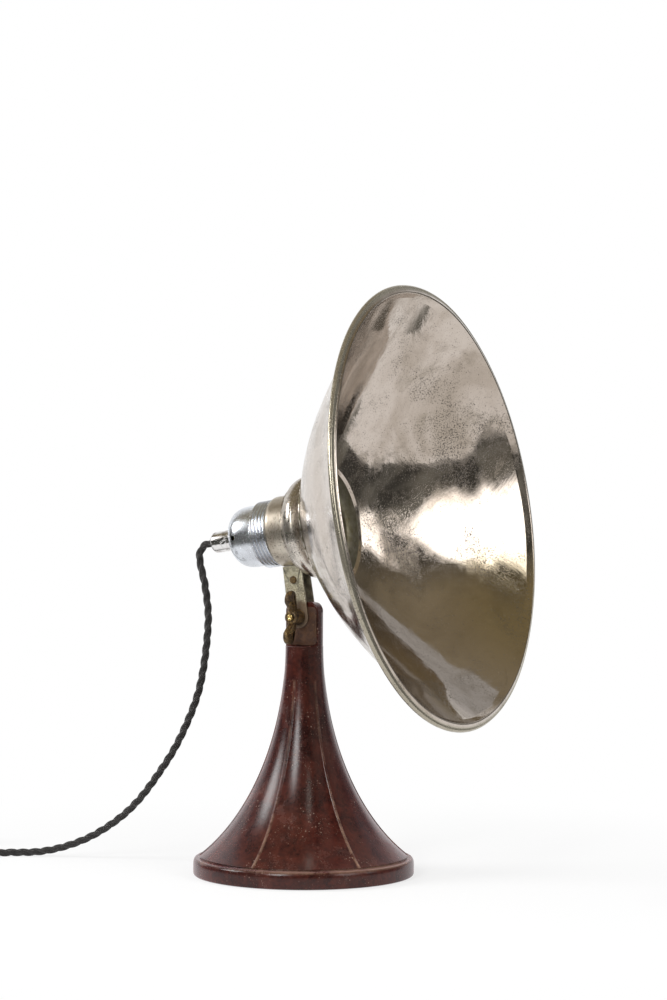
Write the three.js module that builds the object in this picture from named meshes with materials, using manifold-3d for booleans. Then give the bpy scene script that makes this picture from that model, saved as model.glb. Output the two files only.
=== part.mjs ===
// A table lamp: a spun reflector on a lampholder that tilts by a wing nut on a moulded, ribbed stand.
// Millimetres, +Z up. +X is the way the reflector opens, the hinge lies along Y with its wing nut at -Y,
// and the origin is the centre of the foot's underside.
import * as THREE from "three";
import { mergeVertices } from "three/addons/utils/BufferGeometryUtils.js";
import Module from "manifold-3d";

const wasm = await Module();
wasm.setup();

// Clearances and cutting
const seatGap = 0.3; // between pieces that bear on each other
const runningGap = 0.2; // round a shank in its hole
const overrun = 2; // how far a cutter reaches past what it cuts
const mergeDistance = 1e-4; // points closer than this are one point

// Stand: a trumpet-shaped shell on a foot band, with a round neck that ends in a flat tongue
const ledgeWidth = 3.77; // how far the foot band stands out past the flare
const footLift = 0.4; // the shell's rim stays this far off the table
const footChamfer = 0.8;
const footBandHeight = 10.8;
const footEdgeRadius = 4.8;
const footEdgeEnd = 72; // degrees of that round edge, up to the crevice above it
const creviceDepth = 0.9;
const creviceWidth = 0.6;
const flareHeight = 139.2; // where the flare has become the neck
const flareReach = 94.55; // how far the flare's ellipse reaches out from the neck
const flareBelow = 4.1; // how far under the table that ellipse ends
const neckRadius = 11.45;
const neckLength = 26.2;
const neckShoulderRadius = 5.5;
const tongueSink = 0.7; // the neck is cut flat from this far below its start
const tongueHalfThickness = 3.4;
const tongueRecessDepth = 0.6; // the seat of each friction plate
const shellWall = 4.6;
const solidBelowNeck = 27.2; // moulding between the hollow and the neck
const footWall = 7;
const ribCount = 6;
const ribWidth = 1.5;
const ribHeight = 0.6;
const ribRoot = 1.6; // how deep a rib's blade goes into the wall
const ribFade = 17.2; // how far below the neck a rib ends

// Base filling: weight, cover plate, felt, tie rod
const weightBottom = 4.6;
const weightTop = 26;
const weightSideGap = 0.9;
const weightWellRadius = 10;
const weightWellDepth = 9;
const coverInset = 5; // from the foot's edge
const coverThickness = 1;
const feltInset = 1; // from the cover plate's edge
const feltThickness = 1.6;
const tieRodRadius = 3;
const tieRodGrip = 16; // in the solid moulding
const tieNutRadius = 5.6;
const tieNutHeight = 4.8;
const tieWasherRadius = 8;
const tieWasherThickness = 1.2;

// Friction plates on the tongue
const plateThickness = 0.9;
const plateHalfWidth = 10.3;
const plateHeight = 23.3;
const plateCornerRadius = 2.5;

// Hinge of the head: a bolt with its round head at +Y and a wing nut at -Y
const hingeX = -1.5;
const hingeRise = 17.2; // above the neck's start
const restTilt = 8.56; // degrees, nose up
const boltRadius = 2;
const boltHeadRadius = 4.5;
const boltHeadHeight = 2.8;
const boltEndBeyondNut = 0.4;
const washerRadius = 5;
const washerThickness = 1;
const nutBaseRadius = 5;
const nutTipRadius = 4;
const nutHeight = 8.1;
const earReach = 15.8;
const earTipRadius = 4.8;
const earTipRise = 8.6;
const earThickness = 2.5;
const earRootLow = 1.5;
const earRootHigh = 7.4;
const earRootInset = 1; // how far the ears' roots go into the hub
const earLowTangent = -50; // degrees, where the ear's lower edge meets its round tip
const earHighTangent = 115;
const earTurn = 11; // degrees, the line of the ears against the upright

// Stirrup: two straps that carry the collar
const strapThickness = 1.2;
const strapEndRadius = 6.8;
const strapTopHalfWidth = 5.9;
const rivetRise = 22.6; // above the hinge
const rivetRadius = 1.4;
const rivetHeadRadius = 2.4;
const rivetHeadHeight = 1;
const rivetEdgeShare = 0.9; // the head's radius half way up, as a share of its radius
const spacerRadius = 2.6;

// Reflector. Its axis passes above the hinge, and lengths along it are measured back from the rim
const axisRise = 52.65;
const cupForward = 13.85; // from the hinge to the neck cup's back wall
const bowlRadius = 130.6;
const bowlDepth = 72.5;
const bowlWall = 1;
const beadStart = 70; // degrees round the bead, where the wall runs into its back
const beadEnd = -200; // and where the bowl's inside comes out of it
const beadProud = 2.9; // how far the rolled bead stands out past the bowl's edge
const beadHalfWidth = 2.2; // of the rolled bead, across the rim
const beadHalfDepth = 1.1; // along the axis
const bowlOutlineShares = [
  [0, 1],
  [0.22, 0.853],
  [0.44, 0.728],
  [0.66, 0.586],
  [0.88, 0.408],
  [1, 0.286],
]; // depth and radius of the outside, as shares of the bowl's

// Neck cup, with its lengths measured from the bowl's back
const cupWall = 0.8;
const cupFlangeWidth = 4.65;
const cupWaistRadius = 26.6;
const cupWaistDepth = 4.1;
const cupBulgeRadius = 30.3;
const cupBulgeDepth = 10.5;
const cupLipRadius = 29.75;
const cupDepth = 13.8;

// Lampholder, from its mouth to the cord grip
const skirtRadius = 19.4;
const skirtWall = 1.2;
const skirtInCup = 4.3; // the part of the skirt that stands in the cup
const collarOuterRadius = 21.75;
const collarLength = 20.4;
const collarEdgeRadius = 1.6;
const ridgeCrest = 20.5;
const ridgeCount = 5;
const ridgePitch = 2.3;
const capRadius = 18.8;
const capWall = 1.2;
const capSideLength = 6.3; // from the ridges to where the cap starts to dome
const domeHeight = 14.9;
const domePower = 2.8;
const domeHoleRadius = 1.5;
const domeHoleRise = 6.7; // up the dome
const insertSink = 14; // behind the skirt's mouth
const insertLength = 22;
const insertWellDepth = 14;
const screwShellRadius = 13.9;
const screwShellWall = 0.6;
const screwShellSink = 2; // behind the skirt's mouth
const threadDepth = 0.7;
const threadPitch = 3.6;
const contactRadius = 4;
const contactRise = 2;
const terminalRadius = 2.3;
const terminalHeadHeight = 2;
const terminalShankRadius = 1.4;
const terminalShankLength = 4;
const terminalOffset = 9.5;
const ringOuterRadius = 24.5;
const ringWidth = 4.7;
const ringNotchRadius = 2;
const ringNotchCount = 8;

// Nipple, lock nut, cord grip and its screw
const nippleRadius = 5;
const nippleWall = 1.5;
const nippleInCap = 6.2;
const nippleInGrip = 3.1;
const lockNutRadius = 7.5;
const lockNutThickness = 3;
const gripRadius = 6.5;
const gripLength = 15.3;
const gripChamfer = 1.2;
const gripScrewRadius = 1.8;
const gripScrewSet = 5.4; // behind the grip's front
const gripScrewLength = 2.9;
const gripScrewProud = 0.5;

// Cord: a twisted fabric flex, put away as a piled coil with its plug
const cordDiameter = 4.8;
const cordLength = 1800;
const cordSides = 8;
const cordStepDiameters = 2;
const cordLift = 0.02; // between the cord and the table
const coilTurns = 8.46;
const coilLayers = 4;
const coilPitch = 5.3; // between loops, sideways and upwards
const coilStartAngle = -32; // degrees, about the coil's centre
const loopSteps = 24;
const loopSides = 6;
const leadLength = 20; // from the last loop to the plug
const plugRadius = 18.3;
const plugBodyLength = 22;
const plugNeckRadius = 5.6;
const plugNeckLength = 14;
const plugEdgeRadius = 3;
const plugEdgeStart = -60; // degrees of the round edge on the cord's side
const pinRadius = 2.4;
const pinLength = 19;
const pinSpacing = 19;
const pinRootLength = 6; // inside the plug's body

// The cord's way down from the grip and along the table to the coil, as shares of the grip's height:
// forwards and sideways from the grip, and up from where the cord lies
const dropRouteShares = [
  [-0.0301, 0, 0.9939],
  [-0.0501, 0, 0.9656],
  [-0.0451, 0, 0.9231],
  [-0.0336, 0, 0.8806],
  [-0.0241, 0, 0.827],
  [-0.0186, 0, 0.7765],
  [-0.0201, 0, 0.729],
  [-0.0246, 0, 0.6804],
  [-0.0311, 0, 0.6329],
  [-0.0401, 0, 0.5833],
  [-0.0526, 0, 0.5338],
  [-0.0711, 0, 0.4832],
  [-0.0961, 0, 0.4286],
  [-0.123, 0, 0.3771],
  [-0.1555, 0, 0.3245],
  [-0.191, 0, 0.2759],
  [-0.2299, 0, 0.2254],
  [-0.2709, -0.001, 0.1784],
  [-0.3188, -0.0045, 0.1329],
  [-0.3768, -0.0145, 0.0889],
  [-0.4347, -0.029, 0.0535],
  [-0.4916, -0.0465, 0.0282],
  [-0.5451, -0.0654, 0.0115],
  [-0.5935, -0.0849, 0.0024],
  [-0.6345, -0.1049, 0],
];
const runRouteShares = [
  [-0.6685, -0.1269, 0],
  [-0.6974, -0.1568, 0],
  [-0.7214, -0.1948, 0],
  [-0.7454, -0.2378, 0],
  [-0.7708, -0.2827, 0],
  [-0.7963, -0.3257, 0],
  [-0.8213, -0.3676, 0],
];

// Places that follow from these sizes: heights and radii of the stand
const flareDrop = flareHeight + flareBelow;
const ledgeHeight = footBandHeight + creviceWidth;
const footRadius = flareRadius(ledgeHeight) + ledgeWidth;
const footInnerRadius = footRadius - footWall;
const coverRadius = footRadius - coverInset;
const feltRadius = coverRadius - feltInset;
const neckTop = flareHeight + neckLength;
const tongueStart = flareHeight - tongueSink;
const ribTop = flareHeight - ribFade;
const hollowTop = flareHeight - solidBelowNeck;
const tieRodTop = hollowTop + tieRodGrip;
const plateBottom = flareHeight;
const plateTop = plateBottom + plateHeight;
const hingeHeight = flareHeight + hingeRise;

// and places along the reflector's axis, back from the rim
const bowlHoleRadius = bowlRadius * bowlOutlineShares[bowlOutlineShares.length - 1][1];
const beadOuterRadius = bowlRadius + beadProud;
const cupFlangeRadius = bowlHoleRadius + cupFlangeWidth;
const cupWaistBack = bowlDepth + cupWaistDepth;
const cupBulgeBack = bowlDepth + cupBulgeDepth;
const cupBack = bowlDepth + cupDepth;
const rimForward = cupBack + cupForward; // from the hinge
const skirtMouth = cupBack - skirtInCup;
const collarFront = cupBack + seatGap;
const collarBack = collarFront + collarLength;
const skirtBack = collarBack + ridgeCount * ridgePitch;
const capShoulder = skirtBack + capSideLength;
const capTip = capShoulder + domeHeight;
const domeHoleBack = capShoulder + domeHoleRise;
const insertFront = skirtMouth + insertSink;
const insertBack = insertFront + insertLength;
const screwShellFront = skirtMouth + screwShellSink;
const nippleFront = capTip - nippleInCap;
const nippleBack = capTip + nippleInGrip;
const gripFront = capTip + seatGap;
const gripBack = gripFront + gripLength;
const gripScrewBack = gripFront + gripScrewSet;

// Facets round each kind of turned piece
const standFacets = 36;
const bowlFacets = 48;
const cupFacets = 28;
const cupFlangeSteps = 60; // along the whole bowl, to find the flange's part of it
const holderFacets = 24;
const smallFacets = 16;

// Materials, as the lamp shows them
const finish = (color, roughness, metalness) =>
  new THREE.MeshStandardMaterial({ color, roughness, metalness });
const moulding = finish(0x3a1f1c, 0.28, 0);
const agedNickel = finish(0xb3a9a0, 0.34, 1);
const zincHolder = finish(0xc4c9cf, 0.3, 1);
const chromedSteel = finish(0xc9cbcd, 0.2, 1);
const oldBrass = finish(0x6b5a34, 0.45, 1);
const boltBrass = finish(0xb08d3c, 0.35, 1);
const rustySteel = finish(0x5d4640, 0.7, 0.6);
const castIron = finish(0x2c2b2a, 0.8, 0.4);
const greenFelt = finish(0x2c3a30, 0.95, 0);
const porcelain = finish(0xe9e5da, 0.25, 0);
const blackFabric = finish(0x1d1a19, 0.85, 0);

const turn = (degrees) => THREE.MathUtils.degToRad(degrees);
const point = (x, y) => new THREE.Vector2(x, y);

// A closed mesh that holds positions only, with its faces turned to point out
function closedMesh(geometry) {
  const bare = geometry.clone();
  for (const name of Object.keys(bare.attributes)) {
    if (name !== "position") bare.deleteAttribute(name);
  }
  const merged = mergeVertices(bare, mergeDistance);
  const places = merged.getAttribute("position");
  const corners = merged.index.array;
  const kept = [];
  const [a, b, c] = [new THREE.Vector3(), new THREE.Vector3(), new THREE.Vector3()];
  let volume = 0;
  for (let i = 0; i < corners.length; i += 3) {
    const [p, q, r] = corners.slice(i, i + 3);
    if (p === q || q === r || r === p) continue;
    kept.push(p, q, r);
    a.fromBufferAttribute(places, p);
    b.fromBufferAttribute(places, q);
    c.fromBufferAttribute(places, r);
    volume += a.dot(b.cross(c));
  }
  if (volume < 0) kept.reverse();
  merged.setIndex(kept);
  return merged;
}

function solidOf(geometry) {
  const mesh = closedMesh(geometry);
  const vertProperties = new Float32Array(mesh.getAttribute("position").array);
  const triVerts = new Uint32Array(mesh.index.array);
  return new wasm.Manifold(new wasm.Mesh({ numProp: 3, vertProperties, triVerts }));
}

function geometryOf(solid) {
  const mesh = solid.getMesh();
  const geometry = new THREE.BufferGeometry();
  geometry.setAttribute("position", new THREE.BufferAttribute(mesh.vertProperties, 3));
  geometry.setIndex(new THREE.BufferAttribute(mesh.triVerts, 1));
  return geometry;
}

const cut = (body, tools) =>
  geometryOf(tools.reduce((left, tool) => left.subtract(solidOf(tool)), solidOf(body)));
const join = (body, others) =>
  geometryOf(others.reduce((sum, other) => sum.add(solidOf(other)), solidOf(body)));

// Revolved pieces. An outline is a list of points: place along the axis, then radius
const revolve = (outline, facets) =>
  new THREE.LatheGeometry(outline.map(([along, radius]) => point(radius, along)), facets);
const turnedUp = (outline, facets) => revolve(outline, facets).rotateX(Math.PI / 2);
const turnedAcross = (outline, facets) => revolve(outline, facets);
// the same, measured back from the reflector's rim
const turnedBack = (outline, facets) =>
  revolve(outline.map(([back, radius]) => [-back, radius]), facets).rotateZ(-Math.PI / 2);

// An outline in X and Z, made thick along Y from one place to another
function slab(shape, from, to, curveSegments = 8) {
  const options = { depth: to - from, bevelEnabled: false, curveSegments };
  return new THREE.ExtrudeGeometry(shape, options).rotateX(Math.PI / 2).translate(0, to, 0);
}

// A round bar or hole along Y
function barAcross(radius, from, to, x = 0, z = 0) {
  const bar = new THREE.CylinderGeometry(radius, radius, to - from, smallFacets);
  return bar.translate(x, (from + to) / 2, z);
}

// A pipe or rod along one axis as an outline for revolving
const pipe = (from, to, inner, outer) => [
  [from, inner],
  [from, outer],
  [to, outer],
  [to, inner],
  [from, inner],
];
const rod = (from, to, radius) => [
  [from, 0],
  [from, radius],
  [to, radius],
  [to, 0],
];

// A six-sided nut with a round bore, about an axis along Y
function hexNut(from, to, bore, corners) {
  const body = turnedAcross(rod(from, to, corners), 6);
  return cut(body, [barAcross(bore, from - overrun, to + overrun)]);
}

// Points on a quarter round, as place along the axis and radius
function roundEdge(along, radius, size, startDegrees, endDegrees, steps = 4) {
  return Array.from({ length: steps + 1 }, (_, i) => {
    const angle = turn(startDegrees + ((endDegrees - startDegrees) * i) / steps);
    return [along + size * Math.sin(angle), radius + size * Math.cos(angle)];
  });
}

// A line moved sideways by a distance, to its left as it runs
function offsetLine(line, distance) {
  return line.map(([x, y], i) => {
    const before = line[Math.max(i - 1, 0)];
    const after = line[Math.min(i + 1, line.length - 1)];
    const run = Math.hypot(after[0] - before[0], after[1] - before[1]);
    const across = [-(after[1] - before[1]) / run, (after[0] - before[0]) / run];
    return [x + across[0] * distance, y + across[1] * distance];
  });
}

// A smooth line through a few points, sampled evenly
function smoothLine(points, steps) {
  const spline = new THREE.SplineCurve(points.map(([x, y]) => point(x, y)));
  return spline.getPoints(steps).map(({ x, y }) => [x, y]);
}

const lamp = new THREE.Group();
const head = new THREE.Group(); // turns about the hinge
head.position.set(hingeX, 0, hingeHeight);
head.rotation.y = -turn(restTilt);
const barrel = new THREE.Group(); // the reflector's axis, from the rim's plane
barrel.position.set(rimForward, 0, axisRise);
head.add(barrel);
lamp.add(head);

function place(name, geometry, material, parent = lamp) {
  const mesh = new THREE.Mesh(closedMesh(geometry), material);
  mesh.name = name;
  parent.add(mesh);
  return mesh;
}

// The flare's radius at a height: a quarter of an ellipse, grown by a wall on its hollow side
function flareRadius(height, wall = 0) {
  const drop = (flareHeight - height) / (flareDrop + wall);
  return neckRadius + flareReach - (flareReach + wall) * Math.sqrt(1 - drop * drop);
}

// Heights on the flare from low to high, closer together where it spreads
function flareHeights(low, high, steps, wall = 0) {
  const start = Math.asin((flareHeight - low) / (flareDrop + wall));
  const end = Math.asin((flareHeight - high) / (flareDrop + wall));
  return Array.from({ length: steps + 1 }, (_, i) => {
    const angle = start + ((end - start) * i) / steps;
    return flareHeight - (flareDrop + wall) * Math.sin(angle);
  });
}

// Height at which the inside of the flare has a given radius
function innerFlareHeight(radius) {
  const across = (neckRadius + flareReach - radius) / (flareReach + shellWall);
  return flareHeight - (flareDrop + shellWall) * Math.sqrt(1 - across * across);
}

function makeStand() {
  const coverSeat = feltThickness + coverThickness;
  const boreRadius = tieRodRadius + seatGap;
  const boreTop = tieRodTop + seatGap;
  const inside = flareHeights(innerFlareHeight(footInnerRadius), hollowTop, 6, shellWall)
    .map((height) => [height, flareRadius(height, shellWall)])
    .reverse();
  const outside = flareHeights(ledgeHeight, flareHeight, 13).map((height) => [height, flareRadius(height)]);
  const creviceRadius = flareRadius(ledgeHeight) - creviceDepth;
  const edgeCentre = footRadius - footEdgeRadius;
  const edge = roundEdge(footBandHeight - footEdgeRadius, edgeCentre, footEdgeRadius, 0, footEdgeEnd, 4);
  const outline = [
    [boreTop, 0],
    [boreTop, boreRadius],
    [hollowTop, boreRadius],
    ...inside,
    [coverSeat, footInnerRadius],
    [coverSeat, coverRadius + seatGap],
    [footLift, coverRadius + seatGap],
    [footLift, footRadius - footChamfer],
    [footLift + footChamfer, footRadius],
    ...edge,
    [footBandHeight, creviceRadius],
    [ledgeHeight, creviceRadius],
    ...outside,
    [neckTop, neckRadius],
    [neckTop, 0],
  ];
  const shell = turnedUp(outline, standFacets);
  return join(cut(shell, tongueCutters()), ribs());
}

// What is taken off the neck: two flat sides, the plates' seats, two round shoulders and the hinge's bore
function tongueCutters() {
  const reach = neckRadius + overrun;
  const side = new THREE.Shape([
    point(-reach, tongueStart),
    point(reach, tongueStart),
    point(reach, neckTop + overrun),
    point(-reach, neckTop + overrun),
  ]);
  const seat = plateShape(seatGap);
  const seatDepth = tongueHalfThickness - tongueRecessDepth;
  const tongueHalfWidth = Math.sqrt(neckRadius ** 2 - tongueHalfThickness ** 2);
  const shoulder = new THREE.Shape();
  const shoulderX = tongueHalfWidth - neckShoulderRadius;
  const shoulderZ = neckTop - neckShoulderRadius;
  shoulder.moveTo(tongueHalfWidth, shoulderZ);
  shoulder.absarc(shoulderX, shoulderZ, neckShoulderRadius, 0, Math.PI / 2, false);
  shoulder.lineTo(shoulderX, neckTop + overrun);
  shoulder.lineTo(reach, neckTop + overrun);
  shoulder.lineTo(reach, shoulderZ);
  const shoulders = slab(shoulder, -reach, reach);
  return [
    slab(side, tongueHalfThickness, reach),
    slab(side, -reach, -tongueHalfThickness),
    slab(seat, seatDepth, reach, 4),
    slab(seat, -reach, -seatDepth, 4),
    shoulders,
    shoulders.clone().rotateZ(Math.PI),
    barAcross(boltRadius + runningGap, -reach, reach, hingeX, hingeHeight),
  ];
}

// Thin blades along the flare that fade into the neck
function ribs() {
  const heights = flareHeights(ledgeHeight + seatGap, ribTop, 9);
  const proud = (height) => {
    const left = (ribTop - height) / (ribTop - ledgeHeight);
    return ribHeight * Math.sqrt(left) - (ribHeight / ribCount) * (1 - left);
  };
  const outer = heights.map((height) => point(flareRadius(height) + proud(height), height));
  const inner = heights.map((height) => point(flareRadius(height) - ribRoot, height)).reverse();
  const blade = slab(new THREE.Shape([...outer, ...inner]), -ribWidth / 2, ribWidth / 2);
  const spacing = (2 * Math.PI) / ribCount;
  return Array.from({ length: ribCount }, (_, i) => blade.clone().rotateZ(spacing * (i + 1 / 2)));
}

function plateShape(margin) {
  const halfWidth = plateHalfWidth + margin;
  const radius = plateCornerRadius + margin;
  const [low, high] = [plateBottom - margin, plateTop + margin];
  const shape = new THREE.Shape();
  shape.moveTo(-halfWidth, low + radius);
  shape.absarc(-halfWidth + radius, low + radius, radius, Math.PI, (3 * Math.PI) / 2, false);
  shape.absarc(halfWidth - radius, low + radius, radius, -Math.PI / 2, 0, false);
  shape.absarc(halfWidth - radius, high - radius, radius, 0, Math.PI / 2, false);
  shape.absarc(-halfWidth + radius, high - radius, radius, Math.PI / 2, Math.PI, false);
  return shape;
}

// Friction plates, one in each seat of the tongue
const plateInner = tongueHalfThickness - tongueRecessDepth + seatGap;
const plateOuter = plateInner + plateThickness;

function makeFrictionPlate(side) {
  const [from, to] = side < 0 ? [-plateOuter, -plateInner] : [plateInner, plateOuter];
  const plate = slab(plateShape(0), from, to, 4);
  const hole = barAcross(boltRadius + runningGap, from - overrun, to + overrun, hingeX, hingeHeight);
  return cut(plate, [hole]);
}

// The filling of the foot
function makeWeight() {
  const wellRadius = weightWellRadius;
  const shoulder = innerFlareHeight(footInnerRadius);
  const side = flareHeights(shoulder, weightTop, 3, shellWall).map((height) => [
    height,
    flareRadius(height, shellWall) - weightSideGap,
  ]);
  const boreRadius = tieRodRadius + seatGap;
  const outline = [
    [weightBottom + weightWellDepth, boreRadius],
    [weightBottom + weightWellDepth, wellRadius],
    [weightBottom, wellRadius],
    [weightBottom, footInnerRadius - weightSideGap],
    ...side,
    [weightTop, boreRadius],
    [weightBottom + weightWellDepth, boreRadius],
  ];
  return turnedUp(outline, standFacets);
}

const tieWasherTop = weightBottom + weightWellDepth - seatGap;
const tieNutTop = tieWasherTop - tieWasherThickness - seatGap;
const tieNutBottom = tieNutTop - tieNutHeight;

// Reflector
const bowlPoints = bowlOutlineShares.map(([deep, wide]) => [deep * bowlDepth, wide * bowlRadius]);
const bowlOutside = smoothLine(bowlPoints, 9);

function makeReflector() {
  const centre = beadOuterRadius - beadHalfWidth;
  const clearOfBead = ([back]) => back > 2 * beadHalfDepth;
  const outside = bowlOutside.filter(clearOfBead);
  const inside = offsetLine(bowlOutside, -bowlWall).filter(clearOfBead);
  const bead = roundEdge(0, 0, 1, beadStart, beadEnd, 9).map(([along, across]) => [
    along * beadHalfDepth,
    centre + across * beadHalfWidth,
  ]);
  return turnedBack([...inside, ...outside.reverse(), ...bead, inside[0]], bowlFacets);
}

// Neck cup: a flange on the bowl's back, a waist, a bulge and a back wall round the lampholder
function makeNeckCup() {
  const onBowl = offsetLine(smoothLine(bowlPoints, cupFlangeSteps), seatGap + cupWall);
  const flange = onBowl.filter(([, radius]) => radius < cupFlangeRadius && radius > bowlHoleRadius);
  const outside = smoothLine(
    [
      flange[0],
      flange[flange.length - 1],
      [cupWaistBack, cupWaistRadius],
      [cupBulgeBack, cupBulgeRadius],
      [cupBack, cupLipRadius],
    ],
    13,
  );
  const inside = offsetLine(outside, -cupWall);
  const backFront = cupBack - cupWall;
  const bore = skirtRadius + seatGap;
  const inner = inside.filter(([back]) => back < backFront - seatGap);
  const innerEnd = inner[inner.length - 1][1];
  const outline = [
    ...outside,
    [cupBack, bore],
    [backFront, bore],
    [backFront, innerEnd],
    ...inner.reverse(),
    outside[0],
  ];
  return turnedBack(outline, cupFacets);
}

// Lampholder pieces, all round the reflector's axis
function makeSkirt() {
  const ridges = Array.from({ length: ridgeCount }, (_, i) => {
    const start = collarBack + seatGap + i * ridgePitch;
    return [
      [start, skirtRadius],
      [start + ridgePitch / 3, ridgeCrest],
      [start + (2 * ridgePitch) / 3, ridgeCrest],
    ];
  }).flat();
  const bore = skirtRadius - skirtWall;
  const outline = [
    [skirtMouth, bore],
    [skirtMouth, skirtRadius],
    ...ridges,
    [skirtBack + seatGap, skirtRadius],
    [skirtBack + seatGap, bore],
    [skirtMouth, bore],
  ];
  return turnedBack(outline, holderFacets);
}

// Half of a rounded dome as place and radius: a circle whose power is above two
function dome(shoulder, tip, radius, smallest, steps) {
  const end = (1 - (smallest / radius) ** domePower) ** (1 / domePower);
  return Array.from({ length: steps + 1 }, (_, i) => {
    const share = end * Math.sin((Math.PI / 2) * (i / steps));
    return [shoulder + (tip - shoulder) * share, radius * (1 - share ** domePower) ** (1 / domePower)];
  });
}

function makeHolderCap() {
  const front = skirtBack + 2 * seatGap;
  const hole = nippleRadius + seatGap;
  const outside = dome(capShoulder, capTip, capRadius, hole, 6);
  const inside = dome(capShoulder, capTip - capWall, capRadius - capWall, hole, 6).reverse();
  const inner = capRadius - capWall;
  const outline = [[front, inner], [front, capRadius], ...outside, ...inside, [front, inner]];
  const grubHole = barAcross(domeHoleRadius, -capRadius - overrun, -capRadius / 2, -domeHoleBack);
  return cut(turnedBack(outline, holderFacets), [grubHole]);
}

function makeCollar() {
  const inner = skirtRadius + seatGap;
  const edge = roundEdge(
    collarBack - collarEdgeRadius,
    collarOuterRadius - collarEdgeRadius,
    collarEdgeRadius,
    0,
    90,
    3,
  );
  const outline = [[collarFront, inner], [collarFront, collarOuterRadius], ...edge];
  return turnedBack([...outline, [collarBack, inner], [collarFront, inner]], holderFacets);
}

// Threaded ring that clamps the cup's back wall, with notches for a key
function makeShadeRing() {
  const back = cupBack - cupWall - seatGap;
  const ring = turnedBack(pipe(back - ringWidth, back, skirtRadius + seatGap, ringOuterRadius), cupFacets);
  const notch = turnedBack(rod(back - ringWidth - overrun, back + overrun, ringNotchRadius), 8);
  const notches = Array.from({ length: ringNotchCount }, (_, i) => {
    const angle = (2 * Math.PI * (i + 1 / 2)) / ringNotchCount;
    return notch.clone().translate(0, ringOuterRadius * Math.cos(angle), ringOuterRadius * Math.sin(angle));
  });
  return cut(ring, notches);
}

function makeInsert() {
  const outer = skirtRadius - skirtWall - seatGap;
  const well = screwShellRadius + seatGap;
  const wellFloor = insertFront + insertWellDepth;
  const outline = [
    [wellFloor, 0],
    [wellFloor, well],
    [insertFront, well],
    [insertFront, outer],
    [insertBack, outer],
    [insertBack, 0],
  ];
  const holes = [-terminalOffset, terminalOffset].map((offset) =>
    turnedBack(
      rod(
        insertBack - terminalShankLength - seatGap,
        insertBack + overrun,
        terminalShankRadius + seatGap,
      ),
      8,
    ).translate(0, offset, 0),
  );
  return cut(turnedBack(outline, holderFacets), holes);
}

// Screw shell: a thin tube with the rounded thread pressed into it as rings
function makeScrewShell() {
  const back = insertFront + insertWellDepth - seatGap;
  const steps = 9;
  const start = screwShellFront;
  const length = insertFront - seatGap - start;
  const wave = Array.from({ length: steps + 1 }, (_, i) => {
    const along = start + (length * i) / steps;
    const swing = (1 - Math.cos((2 * Math.PI * (along - start)) / threadPitch)) / 2;
    return [along, screwShellRadius - threadDepth * swing];
  });
  const outer = [...wave, [back, screwShellRadius]];
  const inner = outer.map(([along, radius]) => [along, radius - screwShellWall]).reverse();
  return turnedBack([...outer, ...inner, outer[0]], smallFacets);
}

function makeTerminalScrew(offset) {
  const front = insertBack - terminalShankLength;
  const headFront = insertBack + seatGap;
  const outline = [
    [front, 0],
    [front, terminalShankRadius],
    [headFront, terminalShankRadius],
    [headFront, terminalRadius],
    [headFront + terminalHeadHeight, terminalRadius],
    [headFront + terminalHeadHeight, 0],
  ];
  return turnedBack(outline, 12).translate(0, offset, 0);
}

// Cord grip: a chromed sleeve on the nipple, with a screw from the side that pinches the cord
const gripBore = cordDiameter / 2 + seatGap;

function makeCordGrip() {
  const socket = nippleRadius + seatGap;
  const socketEnd = nippleBack + seatGap;
  const outline = [
    [gripFront, socket],
    [gripFront, gripRadius],
    [gripBack - gripChamfer, gripRadius],
    [gripBack, gripRadius - gripChamfer],
    [gripBack, gripBore],
    [socketEnd, gripBore],
    [socketEnd, socket],
    [gripFront, socket],
  ];
  const hole = barAcross(
    gripScrewRadius + runningGap,
    -gripRadius - overrun,
    -gripBore / 2,
    -gripScrewBack,
  );
  return cut(turnedBack(outline, smallFacets), [hole]);
}

function makeLockNut() {
  const topOfDome = (1 - (lockNutRadius / (capRadius - capWall)) ** domePower) ** (1 / domePower);
  const back = capShoulder + (capTip - capWall - capShoulder) * topOfDome - seatGap;
  const nut = hexNut(-back, lockNutThickness - back, nippleRadius + seatGap, lockNutRadius);
  return nut.rotateZ(-Math.PI / 2);
}

// Straps of the stirrup, their tops shaped to the collar
const strapInner = plateOuter + seatGap;
const strapOuter = strapInner + strapThickness;

function makeStrap(side) {
  const shape = new THREE.Shape();
  shape.moveTo(strapTopHalfWidth, axisRise);
  shape.lineTo(-strapTopHalfWidth, axisRise);
  shape.absarc(0, 0, strapEndRadius, Math.PI, 2 * Math.PI, false);
  const [from, to] = side < 0 ? [-strapOuter, -strapInner] : [strapInner, strapOuter];
  const collarRoom = turnedBack(
    rod(collarFront - overrun, collarBack + overrun, collarOuterRadius + seatGap),
    holderFacets * 2,
  ).translate(rimForward, 0, axisRise);
  return cut(slab(shape, from, to, 16), [
    collarRoom,
    barAcross(boltRadius + runningGap, from - overrun, to + overrun),
    barAcross(rivetRadius + runningGap, from - overrun, to + overrun, 0, rivetRise),
  ]);
}

function makeStrapRivet() {
  const inner = strapInner - seatGap;
  const outer = strapOuter + seatGap;
  const half = [
    [inner, spacerRadius],
    [inner, rivetRadius],
    [outer, rivetRadius],
    [outer, rivetHeadRadius],
    [outer + rivetHeadHeight / 2, rivetHeadRadius * rivetEdgeShare],
    [outer + rivetHeadHeight, rivetHeadRadius / 2],
    [outer + rivetHeadHeight, 0],
  ];
  const otherHalf = half.map(([along, radius]) => [-along, radius]).reverse();
  return turnedAcross([...otherHalf, ...half], 12).translate(0, 0, rivetRise);
}

// Hinge pieces along Y, measured from the middle of the stirrup
const washerInner = strapOuter + seatGap;
const washerOuter = washerInner + washerThickness;
const nutInner = washerOuter + seatGap;
const nutOuter = nutInner + nutHeight;
const shankRoom = boltRadius + runningGap;

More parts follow.
